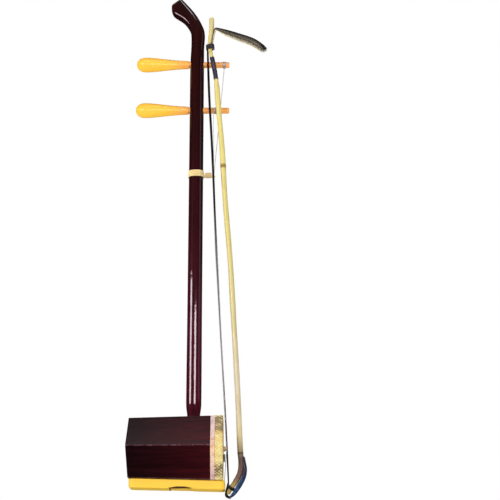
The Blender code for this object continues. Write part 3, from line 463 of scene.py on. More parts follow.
def thread_look(name, pale, deep, roughness=0.6, sheen=0.3):
    """Twisted thread: slanted plies."""
    look = Look(name, roughness=roughness, sheen=sheen, specular=0.4)
    plies = look.wave(1100, 1.5, 2, turn=(0.6, 0.5, 0.7))
    fuzz = look.noise(1800, 3)
    look.colour(look.ramp(look.mix(0.5, plies, fuzz), 0.25, deep, 0.7, pale))
    look.bump(plies, 0.00015, 0.7)
    return look


def hair_look(name, dark, pale, share, attribute=None, silver=False):
    """Horsehair: each strand has its own tone and a silky streak along it. A painted sheen may silver its
    middle.
    """
    look = Look(name, roughness=0.38, specular=0.3)
    pick = look.attribute(attribute) if attribute else look.node("NewGeometry").outputs["Random Per Island"]
    streak = look.noise((2500, 2500, 60), 3)
    tone = look.ramp(pick, 0.0, dark, 1.0 - share, tuple(c * 1.7 for c in dark), 1.0, pale)
    shade = look.ramp(streak, 0.35, (0.55, 0.55, 0.55), 0.65, WHITE)
    colour = look.tint(tone, shade, 0.7)
    if silver:
        # painted sheen: a grey band across the hair's middle height stands for the light it catches
        painted_sheen = look.ramp(look.span(look.axis("Z"), 0.0, 0.6), 0.13, BLACK, 0.30, (0.55, 0.55, 0.55),
                          0.48, (0.8, 0.8, 0.8), 0.68, BLACK)
        colour = look.mix(painted_sheen, colour, (0.30, 0.30, 0.33))
    look.colour(colour)
    look.gloss(streak, 0.42, 0.28)
    return look


def metal_look(name, colour, roughness, density=(900, 900, 60), metallic=1.0):
    """Drawn metal with fine lengthwise scratches and a breath of tarnish."""
    look = Look(name, roughness=roughness, metallic=metallic)
    scratch = look.noise(density, 4)
    tarnish = look.noise(120, 3)
    wear_and_glint = tuple(c * 0.6 for c in colour)
    look.colour(look.ramp(tarnish, 0.35, wear_and_glint, 0.55, colour))
    look.gloss(scratch, roughness * 0.7, roughness * 1.5)
    look.bump(scratch, 0.00005, 0.3)
    return look


def felt_look():
    """Dark grey felt with loose fibres."""
    look = Look("felt_fibres", roughness=0.95, sheen=0.5, specular=0.2)
    fuzz = look.noise(1400, 6, 1.5, 0.7)
    look.colour(look.ramp(fuzz, 0.3, (0.035, 0.035, 0.040), 0.7, (0.14, 0.14, 0.155)))
    look.bump(fuzz, 0.0004, 0.9)
    return look


def sleeve_look():
    """Dark purple-black tape, a little scuffed."""
    look = Look("sleeve_tape", roughness=0.38, coat=0.2, coat_roughness=0.25)
    scuff = look.noise((260, 260, 60), 5, 0.8)
    look.colour(look.ramp(scuff, 0.35, (0.010, 0.007, 0.012), 0.55, (0.026, 0.018, 0.036),
                          0.75, (0.060, 0.044, 0.070)))
    look.gloss(scuff, 0.3, 0.5)
    look.bump(look.noise((900, 900, 200), 3), 0.0001, 0.4)
    return look


def frog_look():
    """Blue-black moulded shell with a cloudy depth and dulled edges."""
    look = Look("frog_shell", roughness=0.3, coat=0.5, coat_roughness=0.12)
    cloud = look.noise(130, 4, 1.2)
    low = look.span(look.axis("Z"), 0.035, 0.012)
    blue = look.ramp(cloud, 0.30, (0.008, 0.016, 0.040), 0.55, (0.018, 0.046, 0.115),
                     0.75, (0.045, 0.095, 0.19))
    look.colour(look.mix(low, (0.030, 0.026, 0.034), blue))
    scuff = look.noise((700, 700, 300), 4)
    look.gloss(scuff, 0.22, 0.42)
    look.bump(scuff, 0.0001, 0.3)
    return look


# ---- mesh helpers


def smooth_path(points, steps):
    """Points on a smooth curve through the given ones (Catmull-Rom), with some steps in each span."""
    rows = [Vector(p) for p in points]
    rows = [2 * rows[0] - rows[1]] + rows + [2 * rows[-1] - rows[-2]]
    path = []
    for a, b, c, d in zip(rows, rows[1:], rows[2:], rows[3:]):
        for i in range(steps):
            t = i / steps
            path.append(0.5 * (2 * b + (c - a) * t + (2 * a - 5 * b + 4 * c - d) * t ** 2
                               + (3 * b - a - 3 * c + d) * t ** 3))
    path.append(rows[-2])
    return path


def heading(path, i):
    """The direction of a path at one of its points."""
    return (path[min(i + 1, len(path) - 1)] - path[max(i - 1, 0)]).normalized()


def circle(sides):
    """The cosine and sine of equal steps round a circle."""
    return [(cos(tau * i / sides), sin(tau * i / sides)) for i in range(sides)]


def oval(angle, squareness):
    """A point on a unit oval, as two numbers. The oval is a circle at squareness 2 and squarer above."""
    power = 2 / squareness
    return tuple(copysign(abs(share) ** power, share) for share in (cos(angle), sin(angle)))


def ring(centre, half_a, half_b, sides, squareness=2.0):
    """A closed oval of points. half_a and half_b are its half axes as vectors."""
    points = []
    for i in range(sides):
        a, b = oval(tau * (i + 0.5) / sides, squareness)
        points.append(centre + half_a * a + half_b * b)
    return points


class Shape:
    """Points and faces of one mesh, which may hold many strands."""

    def __init__(self):
        self.points = []
        self.faces = []

    def loft(self, rings, closed=False):
        """Join rings of equally many points. It has a cap at each end, or runs round as a loop."""
        start = len(self.points)
        sides = len(rings[0])
        for points in rings:
            self.points.extend(points)
        count = len(rings)
        for k in range(count if closed else count - 1):
            low = start + k * sides
            high = start + (k + 1) % count * sides
            for i in range(sides):
                j = (i + 1) % sides
                self.faces.append((low + i, low + j, high + j, high + i))
        if not closed:
            self.faces.append(tuple(start + i for i in reversed(range(sides))))
            self.faces.append(tuple(start + (count - 1) * sides + i for i in range(sides)))

    def tube(self, path, radii, sides):
        """A round tube along a path, without twist. radii is one radius, or one for each point."""
        if isinstance(radii, float):
            radii = [radii] * len(path)
        rings = []
        across = None
        for i, centre in enumerate(path):
            along = heading(path, i)
            if across is None:
                across = along.orthogonal().normalized()
            across = (across - along * across.dot(along)).normalized()
            rings.append(ring(centre, across * radii[i], along.cross(across) * radii[i], sides))
        self.loft(rings)

    def mesh(self, name):
        """A mesh of it with every face turned to the outside."""
        mesh = bpy.data.meshes.new(name)
        mesh.from_pydata([tuple(p) for p in self.points], [], self.faces)
        mesh.validate()
        bm = bmesh.new()
        bm.from_mesh(mesh)
        bmesh.ops.recalc_face_normals(bm, faces=bm.faces)
        bm.to_mesh(mesh)
        bm.free()
        return mesh


def coil(turns, steps, point):
    """A path that winds round: point(angle, share of the way) gives its places."""
    count = turns * steps
    return [point(tau * i / steps, i / count) for i in range(count + 1)]


def place_tube(name, path, radius, sides, look, body, replaced, slot, sharp_deg=70):
    """Make a piece of one round cord."""
    shape = Shape()
    shape.tube(path, radius, sides)
    place(name, shape, look, body, replaced, slot, sharp_deg)


def place(name, shape, look, body, replaced, slot, sharp_deg):
    """Make a piece from a shape, outward faces and smooth shading included, and tie it to the frame."""
    mesh = shape.mesh(name)
    obj = add_object(name, mesh)
    mesh.shade_smooth()
    mesh.set_sharp_from_angle(angle=radians(sharp_deg))
    mesh.materials.append(look.material)
    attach(obj, body)
    if replaced:
        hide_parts(*replaced)
    return obj


def write_attribute(obj, name, values):
    """Give every point of a piece a number that its material reads."""
    layer = obj.data.attributes.new(name, "FLOAT", "POINT")
    layer.data.foreach_set("value", values)


def dress(node, look):
    """Give a carried-over CAD node its material."""
    slots = NODES[node].data.materials
    slots.clear()
    slots.append(look.material)


# ---- sound box


def box_flats(x):
    """The box's size across its flats."""
    t = (x - BOX_BACK_X) / (BOX_FRONT_X - BOX_BACK_X)
    return BOX_FLATS_BACK + (BOX_FLATS_FRONT - BOX_FLATS_BACK) * t


# the points of one softened corner: (turn in degrees, slide along the flat)
CORNER = ((-30, -0.0006), (-30, 0), (-15, 0), (0, 0), (15, 0), (30, 0), (30, 0.0006))
STAVES = ("stave_top", "stave_bottom", "stave_left_upper", "stave_left_lower", "stave_right_upper",
          "stave_right_lower")


def rounded_hexagon(x, apothem, rounding, overhang=0.0):
    """A hexagon with softened corners round the box's axis. Its side corners may reach further back."""
    points = []
    centre_r = (apothem - rounding) / cos(pi / 6)
    for i in range(6):
        angle = pi / 3 * i
        reach = overhang if i % 3 == 0 else 0.0
        for turn_deg, slide in CORNER:
            turn = angle + radians(turn_deg)
            y = centre_r * cos(angle) + rounding * cos(turn) - slide * sin(turn)
            z = centre_r * sin(angle) + rounding * sin(turn) + slide * cos(turn)
            points.append(Vector((x - reach, y, BOX_AXIS_Z + z)))
    return points


def make_box():
    """The six staves as one lacquered shell with softened ridges and rounded end edges."""
    soft = 0.0009
    step = SKIN_THICK + GAP
    step_x = BOX_FRONT_X - SKIN_SKIRT - BINDING_WIDTH - GAP
    outer = [(BOX_BACK_X, soft), (BOX_BACK_X + soft * 0.3, soft * 0.3), (BOX_BACK_X + soft, 0.0)]
    outer += [(BOX_BACK_X + (step_x - BOX_BACK_X) * t, 0.0) for t in (0.1, 0.35, 0.7)]
    outer += [(step_x - 0.0002, 0.0), (step_x, 0.0002), (step_x + 0.0001, step), (BOX_FRONT_X - step, step)]
    shape = Shape()
    rings = []
    for x, depth in outer:
        overhang = RIDGE_OVERHANG * max(0.0, 1 - (x - BOX_BACK_X) / 0.02)
        rings.append(rounded_hexagon(x, box_flats(x) / 2 - depth, 0.0022, overhang))
    for x in (BOX_FRONT_X - step, BOX_BACK_X):
        rings.append(rounded_hexagon(x, box_flats(x) / 2 - STAVE_THICK, 0.0006))
    shape.loft(rings, closed=True)
    look = lacquer_look("box_lacquer", "x", (0.0105, 0.0016, 0.0024), (0.036, 0.0018, 0.0040),
                        ("X", -0.06, 0.045), 0.15, 0.26, 0.20)
    obj = place("box_shell", shape, look, "instrument", STAVES, "lacquered_rosewood", 20)
    # the points of each ridge get an edge mark, which the lacquer pales as a painted highlight
    middle = len(CORNER) // 2
    count = len(obj.data.vertices)
    write_attribute(obj, "edge", [1.0 if abs(i % len(CORNER) - middle) < 2 else 0.0 for i in range(count)])


# dark saddles of the snake's back: (y, z, half width, half height)
BLOTCHES = millimetres((
    (0, 83, 16, 11), (-37, 90, 14, 12), (37, 88, 12, 12), (-40, 20, 13, 11), (-47, 40, 6, 3),
    (42, 30, 13, 10), (0, 30, 15, 11), (-21, 58, 9, 8), (21, 58, 9, 8)))
SCALE_WIDE = 0.0046
SCALE_LONG = 0.0054
SCALE_RISE = 0.00016
SKIN_SIDE_LENGTH = 0.0508       # one side of the box's front, measured round the skirt
SKIN_SIDE_POINTS = 62


def scale_cell(a, b):
    """A point's place among the scales: (0 in a scale's middle to 1 at its edge, the middle's a and b)."""
    p = a / SCALE_WIDE + b / SCALE_LONG
    q = a / SCALE_WIDE - b / SCALE_LONG
    edge = 2 * max(abs(p - round(p)), abs(q - round(q)))
    middle_a = (round(p) + round(q)) / 2 * SCALE_WIDE
    middle_b = (round(p) - round(q)) / 2 * SCALE_LONG
    return edge, middle_a, middle_b


def blotch_at(y, z):
    """How far inside a dark saddle a place on the skin lies, from 0 to 1."""
    return max(exp(-((y - cy) / w) ** 2 - ((z - cz) / h) ** 2) for cy, cz, w, h in BLOTCHES)


def skin_rows():
    """The skin's section from the back of its skirt over the rim to the middle.

    A row is (x, half the size across flats, share of a scale's rise, whether it counts as skirt).
    """
    back = BOX_FRONT_X - SKIN_SKIRT
    rounding = 0.0014
    rows = []
    for i in range(12):
        x = back + (SKIN_SKIRT - rounding) * i / 11
        rows.append((x, box_flats(x) / 2, 1.0 if i else 0.0, True))
    rim = BOX_FLATS_FRONT / 2
    for i in range(1, 5):
        angle = pi / 2 * i / 5
        x = BOX_FRONT_X - rounding * (1 - sin(angle))
        rows.append((x, rim - rounding * (1 - cos(angle)), 0.4, i < 3))
    for i in range(60):
        rows.append((BOX_FRONT_X, (rim - rounding) * (1 - i / 60), 1.0 if i else 0.4, False))
    return rows


def hexagon_points(apothem):
    """Points round a sharp hexagon: (sides gone round so far, place from the box's axis)."""
    radius = apothem / cos(pi / 6)
    points = []
    for side in range(6):
        angle = pi / 3 * side
        start, end = (Vector((0, cos(a), sin(a))) * radius for a in (angle, angle + pi / 3))
        for k in range(SKIN_SIDE_POINTS):
            share = k / SKIN_SIDE_POINTS
            points.append((side + share, start.lerp(end, share)))
    return points


def skin_point(gone, flat, row, tones, rng):
    """One point of the scaly sheet: (place, nearness to its scale's edge, blotch, tone)."""
    x, _, lift, on_skirt = row
    point = Vector((x, flat.y, BOX_AXIS_Z + flat.z))
    edge, ca, cb = scale_cell(gone * SKIN_SIDE_LENGTH, x) if on_skirt else scale_cell(point.y, point.z)
    tone = tones.setdefault((round(ca, 5), round(cb, 5), on_skirt), rng.random())
    spot = blotch_at(point.y * 0.96 + 0.002 * tone, point.z + 0.002 * tone)
    out = Vector((0, flat.y, flat.z)).normalized() if on_skirt else Vector((1, 0, 0))
    lifted = point + out * (SCALE_RISE * lift * (1 - edge ** 3) - SCALE_RISE * 0.5)
    return lifted, edge, spot * (0.85 + 0.3 * tone), tone


def make_skin():
    """The stretched skin as one sheet of low scales, with its cut edge tucked under the strip."""
    rng = random.Random(11)
    tones = {}
    shape = Shape()
    rings = []
    marks = []
    for row in skin_rows():
        made = [skin_point(gone, flat, row, tones, rng) for gone, flat in hexagon_points(row[1])]
        rings.append([point for point, *_ in made])
        marks.extend(values for _, *values in made)
    count = len(rings[0])
    shape.loft(rings)
    shape.faces.pop(-2)         # the cap at the skirt's end, which the skin's own thickness closes instead
    for x in (BOX_FRONT_X - SKIN_SKIRT, BOX_FRONT_X - SKIN_THICK):
        for _, flat in hexagon_points(box_flats(x) / 2 - SKIN_THICK):
            shape.points.append(Vector((x, flat.y, BOX_AXIS_Z + flat.z)))
            marks.append((0.5, 0.0, 0.5))
    inner = len(rings) * count
    for i in range(count):
        j = (i + 1) % count
        shape.faces.append((i, j, inner + j, inner + i))
        shape.faces.append((inner + i, inner + j, inner + count + j, inner + count + i))
    shape.faces.append(tuple(inner + count + i for i in range(count)))
    obj = place("skin_scales", shape, python_look(), "instrument", ("python_skin",), "snakeskin", 80)
    for name, values in zip(("edge", "blotch", "tone"), zip(*marks)):
        write_attribute(obj, name, values)


# ---- neck

# the neck's levels: (height, half depth, half width)
NECK_LEVELS = millimetres((
    (14.5, 6.8, 6.4), (86.2, 6.8, 6.4), (89.2, 8.7, 8.2), (99.2, 8.7, 8.2), (104.2, 9.2, 8.5),
    (109.2, 9.9, 9), (114.2, 10.5, 9.5), (120.2, 10.7, 9.5), (160, 10.7, 9.5), (240, 10.5, 9.5),
    (400, 10.4, 9.5), (520, 10.4, 9.5), (595, 10.4, 9.5)))
# the head: (front x from the neck's middle, front z, back x, back z, half width)
HEAD = millimetres((
    (10.4, 630, -10.4, 630, 9.5), (10.3, 648, -9.8, 648, 9.5), (10.4, 662, -9.1, 664, 9.5),
    (11, 672, -9.1, 677, 9.5), (11.4, 682, -10, 686.8, 9.5), (10.5, 689.5, -12.4, 692.8, 9.4),
    (8, 696.3, -16.3, 699.2, 9.3), (4.4, 704, -21.3, 705, 9.2), (0, 711.8, -26.8, 709.1, 9.1),
    (-5.2, 719.5, -32.2, 712.5, 9), (-11, 726.7, -36.3, 716, 8.9), (-16.5, 733, -38.5, 720.2, 8.8),
    (-20.6, 737.6, -39.5, 724, 8.7), (-24, 741.2, -39.6, 729, 8.6)))
HEAD_SQUARENESS = 4.5
FOOT_BORE_R = 0.0025
FOOT_BORE_TOP = 0.0354


def head_rows():
    """The head's rows at a finer spacing, as (front, back, half width, squareness)."""
    fronts = smooth_path([(row[0], 0, row[1]) for row in HEAD], 4)
    backs = smooth_path([(row[2], row[4], row[3]) for row in HEAD], 4)
    rows = []
    for i, (front, back) in enumerate(zip(fronts, backs)):
        share = i / (len(fronts) - 1)
        squareness = NECK_SQUARENESS + (HEAD_SQUARENESS - NECK_SQUARENESS) * share
        rows.append((front, Vector((back.x, 0, back.z)), back.y, squareness))
    return rows


def make_neck():
    """One piece of wood from the tenon to the curved head, whose end face has a soft edge."""
    rows = [(Vector((NECK_X, 0, z)), Vector((half_x, 0, 0)), half_y, NECK_SQUARENESS)
            for z, half_x, half_y in NECK_LEVELS]
    middle = Vector((NECK_X, 0, 0))
    for front, back, half_y, squareness in head_rows():
        rows.append((middle + (front + back) / 2, (front - back) / 2, half_y, squareness))
    centre, half, half_y, squareness = rows[-1]
    across = half.normalized()
    outward = Vector((-across.z, 0, across.x))
    for pull, push in ((0.0002, 0.0004), (0.0006, 0.0006)):
        rows.append((centre + outward * push, half - across * pull, half_y - pull, squareness))
    shape = Shape()
    shape.loft([ring(spot, deep, Vector((0, wide, 0)), 56, power) for spot, deep, wide, power in rows])
    look = lacquer_look("neck_lacquer", "z", (0.050, 0.0028, 0.0085), (0.0190, 0.0022, 0.0020),
                        ("Z", 0.22, 0.50), 0.55)
    neck = place("neck_carved", shape, look, "instrument", ("neck",), "lacquered_rosewood", 35)
    for z in PEG_Z.values():
        ends = [(Vector((NECK_X + reach, 0, z)), shaft_radius(reach) + GAP) for reach in (-0.03, 0.03)]
        bore(neck, *zip(*ends))
    bore(neck, (Vector((NECK_X, 0, -0.01)), Vector((NECK_X, 0, FOOT_BORE_TOP))), FOOT_BORE_R)


def bore(obj, path, radii):
    """Take a round hole out of a piece."""
    shape = Shape()
    shape.tube(path, radii, 40)
    mesh = shape.mesh("bore")
    cutter = add_object("bore", mesh)
    modifier = obj.modifiers.new("bore", "BOOLEAN")
    modifier.operation = "DIFFERENCE"
    modifier.solver = "EXACT"
    modifier.object = cutter
    result = bpy.data.meshes.new_from_object(obj.evaluated_get(bpy.context.evaluated_depsgraph_get()))
    obj.modifiers.remove(modifier)
    old = obj.data
    obj.data = result
    bpy.data.meshes.remove(old)
    bpy.data.objects.remove(cutter)
    bpy.data.meshes.remove(mesh)
    result.set_sharp_from_angle(angle=radians(35))


# ---- pegs

SHAFT_BACK = -0.0145
SHOULDER = -0.0117              # where the handle steps down to the shaft, just behind the neck
SHAFT_FRONT = 0.0485
PEG_SHAFT_R = 0.0047
PEG_TIP_R = 0.0043
HANDLE = millimetres((
    (-90.8, 0), (-90.5, 2.6), (-89.3, 5.4), (-87, 8), (-83.8, 9.8), (-79.5, 10.8), (-74.5, 11),
    (-68, 10.7), (-58, 9.8), (-46, 8.5), (-34, 7.3), (-24, 6.5), (-17.5, 6.2), (-14, 6), (-12, 5.8)))
STRING_R = {"upper": 0.0004, "lower": 0.0003}
WINDING_X = {"upper": NECK_X + 0.041, "lower": NECK_X + 0.0278}
WINDING_TURNS = 6


def shaft_radius(x):
    """The tapered shaft's radius at a distance from the neck's middle."""
    t = (x - SHAFT_BACK) / (SHAFT_FRONT - SHAFT_BACK)
    return PEG_SHAFT_R + (PEG_TIP_R - PEG_SHAFT_R) * t


def peg_profile():
    """The peg's outline from its round end to its tip: (x from the neck's middle, radius)."""
    rows = [(row.x, max(row.y, 0.00005)) for row in smooth_path([(x, r, 0) for x, r in HANDLE], 6)]
    steps = 20
    for i in range(steps):
        x = SHOULDER + (SHAFT_FRONT - 0.0016 - SHOULDER) * i / steps
        rows.append((x, shaft_radius(x)))
    rows += [(SHAFT_FRONT - 0.0012, PEG_TIP_R), (SHAFT_FRONT - 0.0006, PEG_TIP_R - 0.0003),
             (SHAFT_FRONT - 0.0002, PEG_TIP_R - 0.0008), (SHAFT_FRONT, PEG_TIP_R - 0.0015),
             (SHAFT_FRONT, 0.00005)]
    return rows


def make_peg(which, look):
    """A turned peg: round-ended handle, a small step behind the neck, and the tapered shaft."""
    shape = Shape()
    shape.loft([[Vector((NECK_X + x, radius * c, PEG_Z[which] + radius * s)) for c, s in circle(56)]
                for x, radius in peg_profile()])
    body = which + "_peg"
    place(body + "_turned", shape, look, body, (body,), "yellow_wood", 45)


def make_winding(which, look):
    """The string's turns on the peg as one coil, which starts in a small hole in the shaft."""
    radius = STRING_R[which]
    pitch = radius * 2.15
    turns = WINDING_TURNS - 0.6
    start = WINDING_X[which] - pitch * WINDING_TURNS / 2 + radius
    steps = 22
    path = []
    for i in range(int(turns * steps) + 1):
        turn = i / steps
        x = start + pitch * turn
        r = shaft_radius(x - NECK_X) + GAP * 0.4 + radius
        angle = tau * turn + pi / 2
        path.append(Vector((x, r * cos(angle), PEG_Z[which] + r * sin(angle))))
    path.insert(0, Vector((start, 0, PEG_Z[which] + PEG_TIP_R * 0.5)))
    place_tube(which + "_string_coil", path, radius, 8, look, which + "_peg", (which + "_winding",),
               "string_steel", 60)


# ---- qianjin


def wrap_point(angle, z, grow):
    """A point on the neck's own section, moved out a little."""
    a, b = oval(angle, NECK_SQUARENESS)
    return Vector((NECK_X + a * (NECK_HALF_X + grow), b * (NECK_HALF_Y + grow), z))


def make_qianjin(look):
    """Eleven turns of waxed thread round the neck, with a knot at the front."""
    turns, steps, thread = 11, 48, 0.00043

    def point(angle, share):
        return wrap_point(angle, QIANJIN_WRAP_Z + thread * turns * (2 * share - 1), GAP + thread)

    shape = Shape()
    shape.tube(coil(turns, steps, point), thread, 6)
    knot = NECK_X + NECK_HALF_X + 0.0012
    for lean in (-1, 1):
        cross = ((knot, -0.0016 * lean, QIANJIN.z + 0.0030), (knot + 0.0009, 0.0, QIANJIN.z + 0.0006),
                 (knot + 0.0002, 0.0017 * lean, QIANJIN.z - 0.0018))
        shape.tube(smooth_path(cross, 6), 0.0005, 8)
    place("qianjin_thread", shape, look, "instrument", ("qianjin_wrap",), "thread", 70)


def loop_path():
    """The loop's line from the neck round the strings and back, as the CAD has it."""
    thread_r = 0.0007
    near_x = NECK_X + NECK_HALF_X + GAP + 0.0012 + GAP + thread_r
    far_x = QIANJIN.x + 0.0004 + 2 * GAP + thread_r
    half = 0.0022 + 0.0004 + 2 * GAP + thread_r
    points = []
    for i in range(9):
        angle = radians(-90 + 180 * i / 8)
        x = far_x - half * (1 - cos(angle)) * 0.6
        points.append(Vector((x, half * sin(angle), QIANJIN.z)))
    points.append(Vector(((near_x + far_x) / 2, half * 0.72, QIANJIN.z)))
    for i in range(7):
        angle = radians(90 + 180 * i / 6)
        points.append(Vector((near_x + 0.002 * (1 + cos(angle)), 0.0024 * sin(angle), QIANJIN.z)))
    points.append(Vector(((near_x + far_x) / 2, -half * 0.72, QIANJIN.z)))
    return smooth_path(points + points[:2], 5)[:-5]


def make_qianjin_loop(look):
    """The loop as three plies laid round each other."""
    path = loop_path()
    lay = 0.0032                # the length in which a ply goes round once
    off = 0.00036               # a ply's distance from the cord's middle
    ply_r = 0.00038
    length = 0.0
    plies = [[], [], []]
    for i, point in enumerate(path):
        if i:
            length += (point - path[i - 1]).length
        along = heading(path, i)
        up = Vector((0, 0, 1))
        side = along.cross(up)
        for k, ply in enumerate(plies):
            angle = length / lay * tau + tau * k / 3
            ply.append(point + up * (off * cos(angle)) + side * (off * sin(angle)))
    shape = Shape()
    for ply in plies:
        shape.tube(ply, ply_r, 6)
    place("qianjin_cord", shape, look, "instrument", ("qianjin_loop",), "thread", 70)


def make_whipping(look):
    """Thread wound round the loop's two legs between the neck and the strings, which it draws together."""
    start_x, stop_x = 0.0332, 0.0428
    half_y, half_z, middle = 0.0039, 0.0037, QIANJIN.z + 0.0020
    turns, steps, thread = 11, 30, 0.00045

    def point(angle, share):
        barrel = 1 - 0.22 * abs(2 * share - 1) ** 3 + 0.04 * sin(share * turns * steps * 0.11)
        a, b = oval(angle, 2.5)
        return Vector((start_x + (stop_x - start_x) * share, a * half_y, middle + b * half_z * barrel))

    place_tube("qianjin_whipping", coil(turns, steps, point), thread, 6, look, "instrument", (), "thread")


# ---- bow


def bow_point(along, out, side=0.0):
    """A place in the bow's own plane, or beside it."""
    return BOW_PIVOT + BOW_UP * along + BOW_AXIS * out + BOW_SIDE * side


STICK_NODES = (0.326, 0.118, -0.092)
# dark grooves on the side towards the neck: (from, to along the stick, strength)
STICK_GROOVES = ((0.292, 0.322, 0.9), (-0.101, -0.066, 1.0), (0.105, 0.114, 0.5))
GROOVED_SIDE = (BOW_SIDE * 0.55 - BOW_AXIS * 0.83).normalized()


def node_bulge(along):
    """How strongly a bamboo node shows at a distance along the stick."""
    return sum(exp(-((along - middle) / 0.0015) ** 2) for middle in STICK_NODES)


def groove(along, facing):
    """How dark a place on the stick is, from its distance along and how far it faces the grooved side."""
    for low, high, strength in STICK_GROOVES:
        if low <= along <= high:
            fade = min(1.0, (along - low) / 0.006, (high - along) / 0.003)
            return strength * max(0.0, fade) * max(0.0, (facing - 0.80) / 0.20)
    return 0.0


def soft_end(before, end, face):
    """A smaller ring just past the stick's end."""
    centre = sum(face, Vector()) / len(face)
    return [centre + (p - centre) * 0.86 + (end - before).normalized() * 0.0004 for p in face]


def make_stick(look):
    """The bamboo stick with slightly swollen nodes and softened ends."""
    rows = smooth_path(STICK_LINE, 14)
    path = [bow_point(row.x, row.y) for row in rows]
    sides = 22
    rings = []
    marks = []
    for i, row in enumerate(rows):
        across = heading(path, i).cross(BOW_SIDE).normalized()
        swell = node_bulge(row.x)
        radius = row.z * (1 + 0.03 * sin(row.x * 61)) + 0.00022 * swell
        points = ring(path[i], across * radius, BOW_SIDE * radius, sides)
        rings.append(points)
        facing = [(p - path[i]).normalized().dot(GROOVED_SIDE) for p in points]
        marks.extend(max(swell, groove(row.x, share)) for share in facing)
    rings = [soft_end(path[1], path[0], rings[0]), *rings, soft_end(path[-2], path[-1], rings[-1])]
    marks = [0.0] * sides + marks + [0.0] * sides
    shape = Shape()
    shape.loft(rings)
    obj = place("bamboo_stick", shape, look, "bow", ("bow_stick",), "bamboo", 40)
    write_attribute(obj, "ring", marks)


HAIR_STRANDS = 130
HAIR_STRAND_R = 0.00018
HAIR_HALF_WIDTH = 0.00185
HAIR_HALF_DEPTH = 0.00105
TAIL_STRANDS = 260


def hair_depth(along):
    """How thick the ribbon's bundle is, as a share of its thickest: it is flatter towards the hook."""
    if along > 0.47:
        return 1.0 - 0.45 * (along - 0.47) / 0.052
    return 0.30 + 0.70 * min(1.0, max(0.0, (along - 0.10) / 0.26))


def make_hair(look):
    """The ribbon of hair as many fine strands that run side by side."""
    rng = random.Random(5)
    rows = smooth_path(HAIR_LINE, 4)
    shape = Shape()
    for k in range(HAIR_STRANDS):
        side = (k / (HAIR_STRANDS - 1) * 2 - 1) * HAIR_HALF_WIDTH
        depth = rng.uniform(-HAIR_HALF_DEPTH, HAIR_HALF_DEPTH)
        phase = rng.uniform(0, 6.28)
        wander = rng.uniform(0.00002, 0.00009)
        path = []
        for row in rows:
            end = min(1.0, (row.x - HAIR_LINE[0][0]) / 0.02, (HAIR_LINE[-1][0] - row.x) / 0.02)
            gather = 0.72 + 0.28 * max(0.0, end)
            drift = wander * sin(row.x * 38 + phase)
            out = row.y + depth * hair_depth(row.x) + drift * 0.4
            path.append(bow_point(row.x, out, side * gather + drift))
        shape.tube(path, HAIR_STRAND_R, 5)
    place("hair_strands", shape, look, "bow", ("bow_hair",), "black_horsehair", 80)


def make_tail(look, core_look):
    """The spare hair: strands from the tie that fan out and droop, over a darker heart."""
    rng = random.Random(8)
    rows = smooth_path(TAIL_LINE, 4)
    count = len(rows)
    path = [bow_point(row[0], row[1]) for row in rows]
    frames = [heading(path, i).cross(BOW_SIDE).normalized() for i in range(count)]
    shape = Shape()
    tones = []
    sides = 5
    for _ in range(TAIL_STRANDS):
        angle = rng.uniform(0, tau)
        reach = sqrt(rng.uniform(0.12, 1.0)) * 0.96
        a = cos(angle) * reach
        b = sin(angle) * reach
        height = (frames[count // 2] * a + BOW_SIDE * b * 0.3).z
        tone = min(1.0, max(0.0, 0.42 - 0.95 * height + rng.uniform(-0.32, 0.32)))
        stop = count - rng.choice((0, 0, 1, 1, 2, 3) if tone > 0.5 else (0, 0, 0, 1, 2, 4))
        phase = rng.uniform(0, 6.28)
        strand = []
        for i in range(stop):
            row = rows[i]
            wave = 0.00018 * sin(i * 0.35 + phase) * min(1.0, i / 12)
            strand.append(path[i] + frames[i] * (row[2] * a + wave) + BOW_SIDE * (row[3] * b + wave))
        shape.tube(strand, [0.00019 - 0.00008 * i / count for i in range(stop)], sides)
        tones.extend([tone] * (stop * sides))
    obj = place("tail_strands", shape, look, "bow", ("hair_tail",), "black_horsehair", 80)
    write_attribute(obj, "tone", tones)
    core = Shape()
    rings = []
    for i, row in enumerate(rows):
        share = 0.80 if i < count - 4 else 0.80 - 0.16 * (i - count + 5)
        rings.append(ring(path[i], frames[i] * row[2] * share, BOW_SIDE * row[3] * share, 14))
    core.loft(rings)
    place("tail_heart", core, core_look, "bow", (), "black_horsehair", 80)


# the hair's end, from above the hook, round its tip and under the frog's point: (along, out)
HAIR_END = millimetres((
    (-131, -1.7), (-135.2, -3), (-139.2, -4.5), (-143.2, -5.8), (-146.8, -6.3), (-149.6, -5),
    (-151.4, -2.4), (-152.3, 0.8)))
HOOK_TIP = (-0.145, -0.0025)
END_LAYERS = 4
LAYER_STRANDS = 32
END_STRAND_R = 0.00034
END_HALF_WIDTH = 0.0021


def make_hair_end(look):
    """The hair's end, folded round the hook's tip and tucked under the frog's point."""
    rng = random.Random(3)
    rows = smooth_path([(*row, 0) for row in HAIR_END], 4)
    shape = Shape()
    for k in range(END_LAYERS * LAYER_STRANDS):
        side = ((k % LAYER_STRANDS) / (LAYER_STRANDS - 1) * 2 - 1) * END_HALF_WIDTH
        inward = 0.15 * (k // LAYER_STRANDS)
        wander = rng.uniform(-0.00012, 0.00012)
        shorter = rng.choice((0, 0, 1, 2, 3))
        path = []
        for i, row in enumerate(rows[:len(rows) - shorter]):
            share = inward * min(1.0, i / 8)
            along = row.x + (HOOK_TIP[0] - row.x) * share
            out = row.y + (HOOK_TIP[1] - row.y) * share + wander * sin(i * 0.4 + k)
            path.append(bow_point(along, out, side + wander))
        shape.tube(path, END_STRAND_R, 5)
    place("hair_end", shape, look, "bow", (), "black_horsehair", 80)


